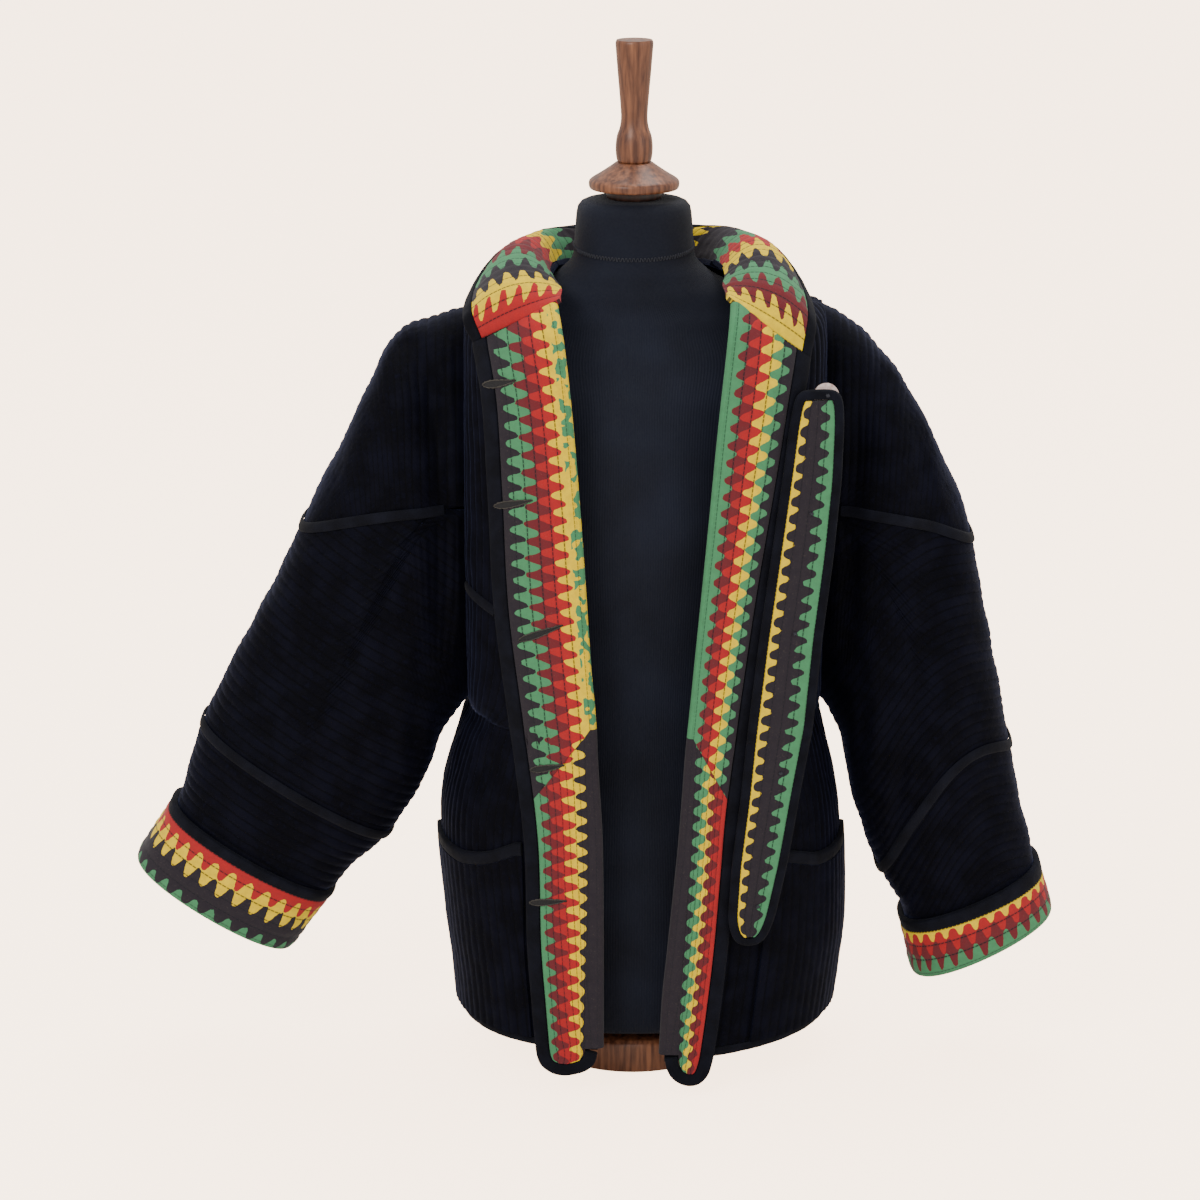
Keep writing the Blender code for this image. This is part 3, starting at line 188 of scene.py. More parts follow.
# Button strip: height, inner x, outer x
STRIP_ROWS = (
    (150, 100, 113), (156, 91, 121), (176, 86, 129), (230, 89, 140), (300, 97, 151), (358, 102, 161),
    (442, 111, 168), (520, 121, 177), (590, 130, 183), (640, 136, 184.5), (662, 140, 183.5), (670, 144, 179),
)
STRIP_TAPE = 8.0
STRIP_SLOPE = 0.12
STRIP_LIFT = 1.4
# Buttons: x, z and the gap behind the strip
BUTTONS = ((169, 664, 2.0), (156, 560, 0.9), (143, 450, 0.9), (132, 318, 0.9), (113, 190, 0.9))
BUTTON_RADIUS = 11.5
POCKET_MOUTH = {
    Side.LEFT: ((178, 226), (163, 224), (150, 226), (131, 233), (106, 247)),
    Side.RIGHT: ((200, 226), (186, 222), (170, 223), (155, 229), (127, 240)),
}
POCKET_CLEAR = {Side.LEFT: 3.5, Side.RIGHT: 32.0}
POCKET_SIDE = 0.03
POCKET_LIFT = 1.8
POCKET_THICK = 2.6
# Dress form: height, half width, half depth, forward, roundness
FORM_ROWS = (
    (42.3, 138, 92, 2, 2.2), (50, 146, 100, 2, 2.2), (90, 152, 104, 2, 2.2), (160, 154, 105, 2, 2.2),
    (250, 142, 97, 3, 2.2), (330, 126, 89, 4, 2.2), (420, 132, 93, 5, 2.2), (520, 143, 103, 8, 2.2),
    (590, 147, 103, 7, 2.1), (640, 161, 94, 3, 2.0), (672, 174, 76, 0, 2.0), (686, 173, 68, 0, 2.0),
    (700, 163, 60, 0, 2.0), (712, 148, 56, 0, 2.1), (724, 124, 53, -1, 2.1), (736, 99, 51, -1, 2.1),
    (746, 77, 49, -1, 2.1), (754, 65.4, 48.2, -1, 2.1), (764, 56, 47, -2, 2.1), (780, 54, 47, -3, 2.0),
    (806, 52, 46, -3, 2.0), (813, 49, 43, -3, 2.0), (816.5, 43, 38, -3, 2.0), (817.5, 24, 24, -3, 2.0),
)
NECK_RING = ((817.8, 22), (818.3, 25), (825.2, 25), (825.7, 22))
NECK_CAP = ((826, 30), (826, 38), (827.5, 40.5), (832, 41), (835, 39), (840, 31), (846, 22), (850, 16.5))
FINIAL = (
    (850.3, 14.5), (852, 15.6), (858, 16.6), (866, 16.7), (874, 15.6), (881, 13.2), (889, 12),
    (898, 12.3), (912, 13.4), (930, 15), (950, 16.6), (957, 17), (959.6, 16),
)
BASE = ((0, 86), (2, 88), (24, 88), (29, 86), (32, 80), (35, 56), (42, 52))
NECK_AXIS_Y = 3.0
NECK_SEAM_Z = 775.0
# Whip-stitched buttonholes of the left front: x, z of the inner and outer end
BUTTONHOLES = (
    ((-103, 678), (-131, 670)), ((-90, 573), (-123, 564)), ((-64, 459), (-103, 442)),
    ((-63, 327), (-93, 319)), ((-61, 196), (-95, 191)),
)


def along(rows: tuple, position: Array) -> Array:
    """Smooth values between the rows of a table.

    Args:
        rows: A table with one tuple for each row.
        position: Fractional row numbers.

    Returns:
        The values there, with the columns on the last axis.
    """
    table = np.asarray(rows, float)
    last = len(table) - 1
    position = np.clip(np.asarray(position, float), 0, last)
    base = np.minimum(position.astype(int), last - 1)
    part = (position - base)[..., None]
    before, here = table[np.maximum(base - 1, 0)], table[base]
    after, beyond = table[base + 1], table[np.minimum(base + 2, last)]
    slope = (after - before) * part
    bend = (2 * before - 5 * here + 4 * after - beyond) * part**2
    twist = (3 * here - before - 3 * after + beyond) * part**3
    return 0.5 * (2 * here + slope + bend + twist)


def unit(vectors: Array) -> Array:
    """Vectors of length one.

    Args:
        vectors: Vectors on the last axis.

    Returns:
        The same directions; a vector without length stays as it is.
    """
    length = np.linalg.norm(vectors, axis=-1, keepdims=True)
    return vectors / np.where(length > TOUCH, length, 1.0)


def ripple(u: Array, v: Array, size: float, seed: int) -> Array:
    """Smooth irregular waves from a seeded set of directions.

    Args:
        u: First coordinate, in millimetres.
        v: Second coordinate, in millimetres.
        size: Usual wave length, in millimetres.
        seed: Number that picks the set of waves.

    Returns:
        Heights of about -1 to 1.
    """
    dice = np.random.default_rng(seed)
    total = np.zeros(np.broadcast(u, v).shape)
    for _ in range(7):
        angle, phase = dice.uniform(0, 2 * math.pi, 2)
        scale = 2 * math.pi / (size * dice.uniform(0.6, 1.7))
        total = total + np.sin((u * math.cos(angle) + v * math.sin(angle)) * scale + phase)
    return total / 3.2


def lengths(grid: Array, axis: int) -> Array:
    """Distance run along one axis of a grid of points.

    Args:
        grid: Points on the last axis.
        axis: The axis to run along.

    Returns:
        Distances from the first point of each row or column.
    """
    steps = np.linalg.norm(np.diff(grid, axis=axis), axis=-1)
    start = np.zeros_like(np.take(steps, [0], axis=axis))
    return np.concatenate([start, np.cumsum(steps, axis=axis)], axis=axis)


def inset(line: Array, by: float) -> Array:
    """A line in a plane, moved to its left.

    Args:
        line: Points (x, z) in order.
        by: Distance in millimetres.

    Returns:
        The moved points.
    """
    way = unit(np.gradient(line, axis=0))
    return line + np.stack([-way[:, 1], way[:, 0]], axis=1) * by


def patch(bottom: Array, top: Array, left: Array, right: Array) -> Array:
    """Grid of points between four edge lines.

    Args:
        bottom: Points from left to right.
        top: Points from left to right.
        left: Points from bottom to top.
        right: Points from bottom to top.

    Returns:
        Points with rows from bottom to top.
    """
    across = np.linspace(0, 1, len(bottom))[None, :, None]
    upward = np.linspace(0, 1, len(left))[:, None, None]
    ruled = (1 - upward) * bottom[None] + upward * top[None]
    sides = (1 - across) * left[:, None] + across * right[:, None]
    low = (1 - across) * bottom[0] + across * bottom[-1]
    high = (1 - across) * top[0] + across * top[-1]
    return ruled + sides - (1 - upward) * low - upward * high


def eased(grid: Array, axis: int, place: int, by: float) -> Array:
    """Draws an edge of a grid back from its neighbour by a small distance.

    Args:
        grid: Grid of points.
        axis: 0 for a row, 1 for a column.
        place: 0 for the first, -1 for the last.
        by: Distance, of which at most 0.6 of the neighbour's is used.

    Returns:
        The changed grid.
    """
    grid = np.swapaxes(grid, 0, axis).copy()
    way = grid[1 if place == 0 else -2] - grid[place]
    far = np.linalg.norm(way, axis=-1, keepdims=True)
    grid[place] = grid[place] + unit(way) * np.minimum(by, far * 0.6)
    return np.swapaxes(grid, 0, axis)


def square_to(point: Array, normal: Array, ring: bool = False) -> Array:
    """Direction across a line of points, in the surface.

    Args:
        point: The line's points.
        normal: The surface's normals there.
        ring: Whether the line is closed.

    Returns:
        Unit vectors.
    """
    if ring:
        way = np.roll(point, -1, axis=0) - np.roll(point, 1, axis=0)
    else:
        way = np.gradient(point, axis=0)
    return unit(np.cross(normal, way))


def resampled(points: Array, count: int) -> Array:
    """Evenly spaced points on the smooth curve through a list.

    Args:
        points: The list.
        count: How many points to return.

    Returns:
        The points.
    """
    curve = along(points, np.linspace(0, len(points) - 1, 400))
    run = lengths(curve, 0)
    wanted = np.linspace(0, run[-1], count)
    return np.stack([np.interp(wanted, run, column) for column in curve.T], axis=1)


def paired(first: Array, second: Array) -> list[Array]:
    """Two sets of numbers in one shape.

    Args:
        first: Numbers.
        second: Numbers.

    Returns:
        Both, as broadcast arrays.
    """
    return np.broadcast_arrays(np.asarray(first, float), np.asarray(second, float))


def circle(count: int) -> Array:
    """Even angles once round.

    Args:
        count: How many.

    Returns:
        Angles in radians from 0.
    """
    return np.arange(count) * 2 * math.pi / count


def quilted(number: Array, rise: float, wrinkles: Array) -> Array:
    """Rounded, lightly wrinkled channels between sewn lines.

    Args:
        number: Numbers of the sewn lines, whole on each.
        rise: Height of the channels.
        wrinkles: Heights added where the cloth stands up.

    Returns:
        Heights, 0 on the lines.
    """
    raised = np.abs(np.sin(math.pi * number)) ** CHANNEL_POWER * rise
    return raised + wrinkles * np.clip(raised, 0, 1)


def rolled(at: Array, way: Array, out: Array, lift: float) -> list[list[Array]]:
    """Lines of points round a fold.

    Args:
        at: The fold's points.
        way: Direction past the fold.
        out: Outward normals.
        lift: Gap between the two layers.

    Returns:
        The lines of the outer and of the inner face.
    """
    return [[at + way * (SEAM_GAP + radius * math.sin(angle)) + out * (lift / 2 + radius * math.cos(angle))
             for angle in ROLL_ANGLES] for radius in (CLOTH + lift / 2, lift / 2)]


def channel_number(run: Array, whole: Array, pitch: float) -> Array:
    """Number of the sewn line, with a whole number of channels over a distance.

    Args:
        run: Distance across the lines.
        whole: Full distance.
        pitch: Usual distance between the lines.

    Returns:
        Whole on the lines.
    """
    count = np.maximum(np.round(np.mean(whole) / pitch), 1)
    return run / np.maximum(whole, 1e-6) * count


def linked(name: str, points: Array, faces: list) -> bpy.types.Object:
    """A new mesh object in the scene.

    Args:
        name: Its name.
        points: Corners in millimetres.
        faces: Corner numbers of each face.

    Returns:
        The object.
    """
    mesh = bpy.data.meshes.new(name)
    mesh.from_pydata((points * MM).tolist(), [], faces)
    made = bpy.data.objects.new(name, mesh)
    bpy.context.scene.collection.objects.link(made)
    return made


def mapped(made: bpy.types.Object, layer: str, values: Array) -> None:
    """Stores two numbers for each point, for the material.

    Args:
        made: The object.
        layer: Name of the set.
        values: The numbers, a row for each point.
    """
    corners = np.empty(len(made.data.loops), np.int32)
    made.data.loops.foreach_get("vertex_index", corners)
    places = values.reshape(-1, 2).astype(np.float32)[corners]
    made.data.uv_layers.new(name=layer).data.foreach_set("uv", places.ravel())


def cloth(name: str, outer: Array, inner: Array, ring: bool = False,
          uv: Array | None = None, sewn: Array | None = None) -> bpy.types.Object:
    """A closed wall between two grids of points of one size.

    Args:
        name: Name of the piece.
        outer: Points of the side that shows, in millimetres.
        inner: Points of the other side.
        ring: Whether the last column joins the first.
        uv: Two numbers for each point for the material; by default the
            distances run across and along, in metres.
        sewn: Two more: the number of the sewn line, and the distance along it.

    Returns:
        The new object.
    """
    rows, columns = outer.shape[:2]
    if uv is None:
        uv = np.stack([lengths(outer, 1), lengths(outer, 0)], axis=-1) * MM
    index = np.arange(rows * columns).reshape(rows, columns)
    if ring:
        index = np.concatenate([index, index[:, :1]], axis=1)
    behind = index + rows * columns
    sheets = [
        (index[:-1, :-1], index[:-1, 1:], index[1:, 1:], index[1:, :-1]),
        (behind[:-1, :-1], behind[1:, :-1], behind[1:, 1:], behind[:-1, 1:]),
        (index[0, :-1], behind[0, :-1], behind[0, 1:], index[0, 1:]),
        (index[-1, :-1], index[-1, 1:], behind[-1, 1:], behind[-1, :-1]),
    ]
    if not ring:
        sheets.append((index[:-1, 0], index[1:, 0], behind[1:, 0], behind[:-1, 0]))
        sheets.append((index[:-1, -1], behind[:-1, -1], behind[1:, -1], index[1:, -1]))
    faces = np.concatenate([np.stack([c.ravel() for c in corners], axis=1) for corners in sheets])
    points = np.concatenate([outer.reshape(-1, 3), inner.reshape(-1, 3)])
    a, b, c, d = (points[faces[:, i]] for i in range(4))
    volume = np.sum(a * np.cross(b, c)) + np.sum(a * np.cross(c, d))
    made = linked(name, points, (faces if volume >= 0 else faces[:, ::-1]).tolist())
    for layer, values in (("Print", uv), ("Sewn", np.full(uv.shape, 0.5) if sewn is None else sewn)):
        mapped(made, layer, np.stack([values] * 2))
    return smoothed(made)


def smoothed(made: bpy.types.Object, sharp: float = 62.0, outward: bool = False) -> bpy.types.Object:
    """Merges doubled corners and shades a piece smooth.

    Args:
        made: The piece.
        sharp: Edges over this many degrees stay sharp.
        outward: Whether its faces are first turned outwards.

    Returns:
        The same piece.
    """
    shape = bmesh.new()
    shape.from_mesh(made.data)
    if outward:
        bmesh.ops.recalc_face_normals(shape, faces=shape.faces)
    bmesh.ops.remove_doubles(shape, verts=shape.verts, dist=0.00002)
    shape.to_mesh(made.data)
    shape.free()
    made.data.shade_smooth()
    made.data.set_sharp_from_angle(angle=math.radians(sharp))
    return made


def finished(made: bpy.types.Object, material: bpy.types.Material, slot: str,
             *nodes: str) -> bpy.types.Object:
    """Gives a piece its material and its place on the model.

    Args:
        made: The piece.
        material: Its material.
        slot: Name of a material slot; not used.
        nodes: The solids that it replaces.

    Returns:
        The same piece.
    """
    made.data.materials.clear()
    made.data.materials.append(material)
    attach(made, "root")
    if nodes:
        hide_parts(*nodes)
    LOG.info("%s: %d faces, stands for %s", made.name, len(made.data.polygons), ", ".join(nodes) or "detail")
    return made


def cut_from(grid: Array,
             ring: bool = False) -> None:
    """Works out the area, width and length of a piece's own surface; nothing is done with them.

    Args:
        grid: Points of the side that shows, without its quilting.
        ring: Whether its columns close into a tube.
    """
    if ring:
        grid = np.concatenate([grid, grid[:, :1]], axis=1)
    across, down = np.diff(grid, axis=1)[:-1], np.diff(grid, axis=0)[:, :-1]
    area = np.linalg.norm(np.cross(across, down), axis=-1).sum() * MM**2
    width = lengths(grid, 1)[:, -1].max() * MM
    length = lengths(grid, 0)[-1].max() * MM
    area = float(np.clip(area, 0.31 * width * length, width * length))


def sheet(node: str, outer: Array, inner: Array, look: bpy.types.Material, slot: str, held: Held,
          rests_on: list[str], plain: Array | None = None, ring: bool = False, **maps: Array) -> None:
    """Makes the cloth that stands for one solid, and works out the area of its surface.

    Args:
        node: The solid.
        outer: Points of the side that shows, in millimetres.
        inner: Points of the other side.
        look: Its material.
        slot: Name of a material slot; not used.
        held: How it is held; not used.
        rests_on: Names of what it lies on; not used.
        plain: Points of the side that shows without its quilting, where they differ.
        ring: Whether the last column joins the first.
        maps: uv and sewn, as for cloth.
    """
    made = cloth(f"{node}_cloth", outer, inner, ring, **maps)
    finished(made, look, slot, node)
    cut_from(outer if plain is None else plain, ring)


@dataclass(frozen=True)
class HalfBody:
    """Form of a front, or of half of the back."""

    side: Side
    back: bool = False

    def armhole_depth(self, height: Array) -> Array:
        """Half depth of the armhole.

        Args:
            height: Heights of places on its edge.

        Returns:
            Depths, 0 below the underarm.
        """
        half = (SHOULDER_Z[self.side] - UNDERARM_Z) / 2
        rise = np.clip((height - UNDERARM_Z) / half - 1, -1, 1)
        return ARMHOLE_DEPTH * (1 - rise**2) ** (LOOP_POWER / 2)

    def point(self, level: Array, turn: Array) -> Array:
        """Outer surface.

        Args:
            level: Fractional row of the body's table.
            turn: 0 at the side, 1 at the fold or the centre back.

        Returns:
            Points in millimetres.
        """
        level, turn = paired(level, turn)
        row = along(FRONT_ROWS[self.side], level)
        inner = along(BACK_ROWS, level) if self.back else row[..., :3]
        side_x, side_z = row[..., 3], row[..., 4]
        side_y = self.armhole_depth(side_z) * (1 if self.back else -1)
        angle = np.clip(turn, 0, 1) * math.pi / 2
        out = np.where(turn >= 1, 0, np.abs(np.cos(angle)) ** (2 / SECTION_ROUND))
        reach = 1 - np.abs(np.sin(angle)) ** (2 / SECTION_ROUND)
        x = inner[..., 0] + (side_x - inner[..., 0]) * out
        y = inner[..., 1] + (side_y - inner[..., 1]) * reach
        z = inner[..., 2] + (side_z - inner[..., 2]) * out
        return np.stack([self.side.sign * x, y, z], axis=-1)

    def frame(self, level: Array, turn: Array) -> tuple[Array, Array, Array]:
        """Point, outward normal and direction away from the fold.

        Args:
            level: Fractional row of the body's table.
            turn: 0 at the side, 1 at the fold or the centre back.

        Returns:
            Three arrays of vectors.
        """
        level, turn = paired(level, turn)
        step = 0.01
        near = np.clip(turn, step * 2, 1 - step * 2)
        row = np.clip(level, step * 2, len(BACK_ROWS) - 1 - step * 2)
        up = self.point(row + step, near) - self.point(row - step, near)
        away = self.point(row, near - step) - self.point(row, near + step)
        point = self.point(level, turn)
        normal = unit(np.cross(up, away))
        outward = np.sum(normal[..., :2] * point[..., :2], axis=-1, keepdims=True)
        return point, normal * np.where(outward < 0, -1, 1), unit(away)

    def edged(self, normal: Array, level: Array, turn: Array) -> Array:
        """Normals that keep the wall's edges in the planes of its seams.

        Args:
            normal: Outward normals.
            level: Fractional rows.
            turn: Turns.

        Returns:
            The corrected normals.
        """
        level, turn = paired(level, turn)
        normal = normal.copy()
        side_edge = turn <= 0
        normal[side_edge & (level <= UNDERARM_ROW), 1] = 0
        normal[side_edge & (level > UNDERARM_ROW), 0] = 0
        normal[level >= len(BACK_ROWS) - 1, 1] = 0
        if self.back:
            normal[(turn >= 1) & (level <= NECK_ROW), 0] = 0
        normal[side_edge & (level >= len(BACK_ROWS) - 1)] = (0, 0, 1)
        return unit(normal)

    def locate(self, x: Array, height: Array) -> tuple[Array, Array]:
        """Level and turn of the front's point at an x outwards and a height.

        Args:
            x: Distances outwards from the axis.
            height: Heights.

        Returns:
            Levels and turns.
        """
        x, height = paired(x, height)
        low, high = np.zeros(x.shape), np.full(x.shape, len(BACK_ROWS) - 1.0)
        for _ in range(26):
            level = (low + high) / 2
            row = along(FRONT_ROWS[self.side], level)
            out = np.clip((x - row[..., 0]) / (row[..., 3] - row[..., 0]), 0, 1)
            above = row[..., 2] + (row[..., 4] - row[..., 2]) * out > height
            high, low = np.where(above, level, high), np.where(above, low, level)
        return level, np.arccos(out ** (SECTION_ROUND / 2)) * 2 / math.pi

    def over(self, plan: Array) -> tuple[Array, Array, Array]:
        """The frame of the front over (x, height) places.

        Args:
            plan: Places, x outwards.

        Returns:
            Points, outward normals and directions away from the fold.
        """
        level, turn = self.locate(plan[..., 0], plan[..., 1])
        point, normal, away = self.frame(level, turn)
        below = level < 0.001
        point[below, 2] = np.minimum(point[below, 2], plan[below, 1])
        return point, normal, away

    def even_levels(self, first: float, last: float, pitch: float) -> Array:
        """Levels evenly spaced up the middle of the panel.

        Args:
            first: Lowest level.
            last: Highest level.
            pitch: Usual distance between them.

        Returns:
            The levels.
        """
        fine = np.linspace(first, last, 300)
        run = lengths(self.point(fine, 0.4), 0)
        count = max(round(run[-1] / pitch), 2) + 1
        return np.interp(np.linspace(0, run[-1], count), run, fine)

    def even_turns(self, level: Array, count: int) -> Array:
        """Turns that share the distance from side to fold evenly at each level.

        Args:
            level: Levels, one for each row.
            count: How many places in each row.

        Returns:
            Turns, a row for each level.
        """
        fine = np.linspace(0, 1, 160)
        run = lengths(self.point(np.asarray(level, float)[:, None], fine[None, :]), 1)
        share = np.linspace(0, 1, count)
        return np.stack([np.interp(share * row[-1], row, fine) for row in run])


@dataclass(frozen=True)
class FrontEdge:
    """Plan of a turned-back front: its outer edge and its fold."""

    side: Side

    def at(self, places: Array, by: float) -> Array:
        """Points of the outer edge, moved inwards.

        Args:
            places: Fractional rows of its table.
            by: Distance inwards.

        Returns:
            Points (x, height).
        """
        fine = np.linspace(0, len(FRONT_EDGE[self.side]) - 1, 1200)
        whole = inset(along(FRONT_EDGE[self.side], fine), by)
        return np.stack([np.interp(places, fine, column) for column in whole.T], axis=-1)

    def place(self, height: float) -> float:
        """Place on the edge, past its lower corner, at a height.

        Args:
            height: The height.

        Returns:
            The fractional row.
        """
        low, high = EDGE_CORNER, len(FRONT_EDGE[self.side]) - 1.0
        for _ in range(30):
            middle = (low + high) / 2
            if along(FRONT_EDGE[self.side], middle)[1] < height:
                low = middle
            else:
                high = middle
        return low

    def fold(self, heights: Array) -> Array:
        """The fold of the front.

        Args:
            heights: Heights of its points.

        Returns:
            Points (x, height).
        """
        level, _ = HalfBody(self.side).locate(np.zeros(len(heights)), heights)
        return np.stack([along(FRONT_ROWS[self.side], level)[..., 0], heights], axis=1)

    def collar_seam(self) -> tuple[Array, Array]:
        """Ends of the seam to the collar.

        Returns:
            Its point on the fold and its point on the edge, (x, height).
        """
        fold_top, edge_top = COLLAR_SEAM[self.side]
        return self.fold(np.array([float(fold_top)]))[0], self.at(self.place(edge_top), 0.0)


@dataclass(frozen=True)
class SleeveForm:
    """Form of a sleeve."""

    side: Side

    def pressed(self, x: Array, z: Array) -> Array:
        """How far the creases press the front of the sleeve in.

        Args:
            x: Distances outwards.
            z: Heights.

        Returns:
            Depths in millimetres.
        """
        depth = np.zeros(np.shape(x))
        for points, deep, wide in CREASES[self.side]:
            nearest = np.full(np.shape(x), 1e9)
            for (x0, z0), (x1, z1) in zip(points, points[1:]):
                span = (x1 - x0) ** 2 + (z1 - z0) ** 2
                part = np.clip(((x - x0) * (x1 - x0) + (z - z0) * (z1 - z0)) / span, 0, 1)
                away = np.hypot(x - x0 - part * (x1 - x0), z - z0 - part * (z1 - z0))
                nearest = np.minimum(nearest, away)
            depth = np.maximum(depth, deep * np.exp(-((nearest / wide) ** 2)))
        return depth * np.clip((x - ARMHOLE_X[self.side] - CREASE_START) / CREASE_FADE, 0, 1)

    def point(self, section: Array, turn: Array, creased: bool = True) -> Array:
        """Outer surface.

        Args:
            section: Fractional row of the sleeve's table.
            turn: 0 at the underarm, 90 in front, 180 on top.
            creased: Whether the creases count.

        Returns:
            Points in millimetres.
        """
        section, turn = paired(section, turn)
        row = along(SLEEVE_ROWS[self.side], section)
        angle = np.radians(turn)
        high = (1 - np.cos(angle)) / 2
        x = row[..., 2] + (row[..., 0] - row[..., 2]) * high + SEAM_GAP
        z = row[..., 3] + (row[..., 1] - row[..., 3]) * high
        ahead = np.sin(angle)
        inward = self.pressed(x, z) * np.clip(ahead * 3, 0, 1) * creased
        y = inward - row[..., 5] - row[..., 4] * np.sign(ahead) * np.abs(ahead) ** LOOP_POWER
        return np.stack([self.side.sign * x, y, z], axis=-1)

    def frame(self, section: Array, turn: Array) -> tuple[Array, Array, Array]:
        """Point, outward normal and direction towards the cuff.

        Args:
            section: Fractional row of the sleeve's table.
            turn: Turns in degrees.

        Returns:
            Three arrays of vectors.
        """
        section, turn = paired(section, turn)
        step = 0.02
        row = np.clip(section, step, SLEEVE_END - step)
        lower, upper, after, before, plain, opposite = (
            self.point(*place, False) for place in (
                (row + step, turn), (row - step, turn), (row, turn + 1), (row, turn - 1),
                (section, turn), (section, turn + 180),
            )
        )
        down = lower - upper
        normal = unit(np.cross(down, after - before))
        outward = np.sum(normal * (plain - opposite), axis=-1, keepdims=True)
        normal = normal * np.where(outward < 0, -1, 1)
        normal[section <= 0, 0] = 0
        return self.point(section, turn), unit(normal), unit(down)

    def upper_seam(self, turn: Array) -> Array:
        """Section number of the upper seam.

        Args:
            turn: Turns in degrees.

        Returns:
            Section numbers, 0 where the seam lies in the armhole.
        """
        turn = np.asarray(turn, float)
        start = (UPPER_SEAM_Z - UNDERARM_Z) / (SHOULDER_Z[self.side] - UNDERARM_Z)
        high = (1 - np.cos(np.radians(turn))) / 2
        part = np.clip((high - start) / (1 - start), 0, 1)
        wanted = UPPER_SEAM_Z - UPPER_SEAM_FALL[self.side] * part**2
        low, far = np.zeros(turn.shape), np.full(turn.shape, 6.0)
        for _ in range(24):
            middle = (low + far) / 2
            above = self.point(middle, turn)[..., 2] > wanted
            low, far = np.where(above, middle, low), np.where(above, far, middle)
        return np.where(part > 0, low, 0)

    def lower_seam(self, turn: Array) -> Array:
        """Section number of the lower seam.

        Args:
            turn: Turns in degrees.

        Returns:
            Section numbers.
        """
        top, low, bow = LOWER_SEAM[self.side]
        high = (1 - np.cos(np.radians(turn))) / 2
        return low + (top - low) * high + 4 * bow * high * (1 - high)


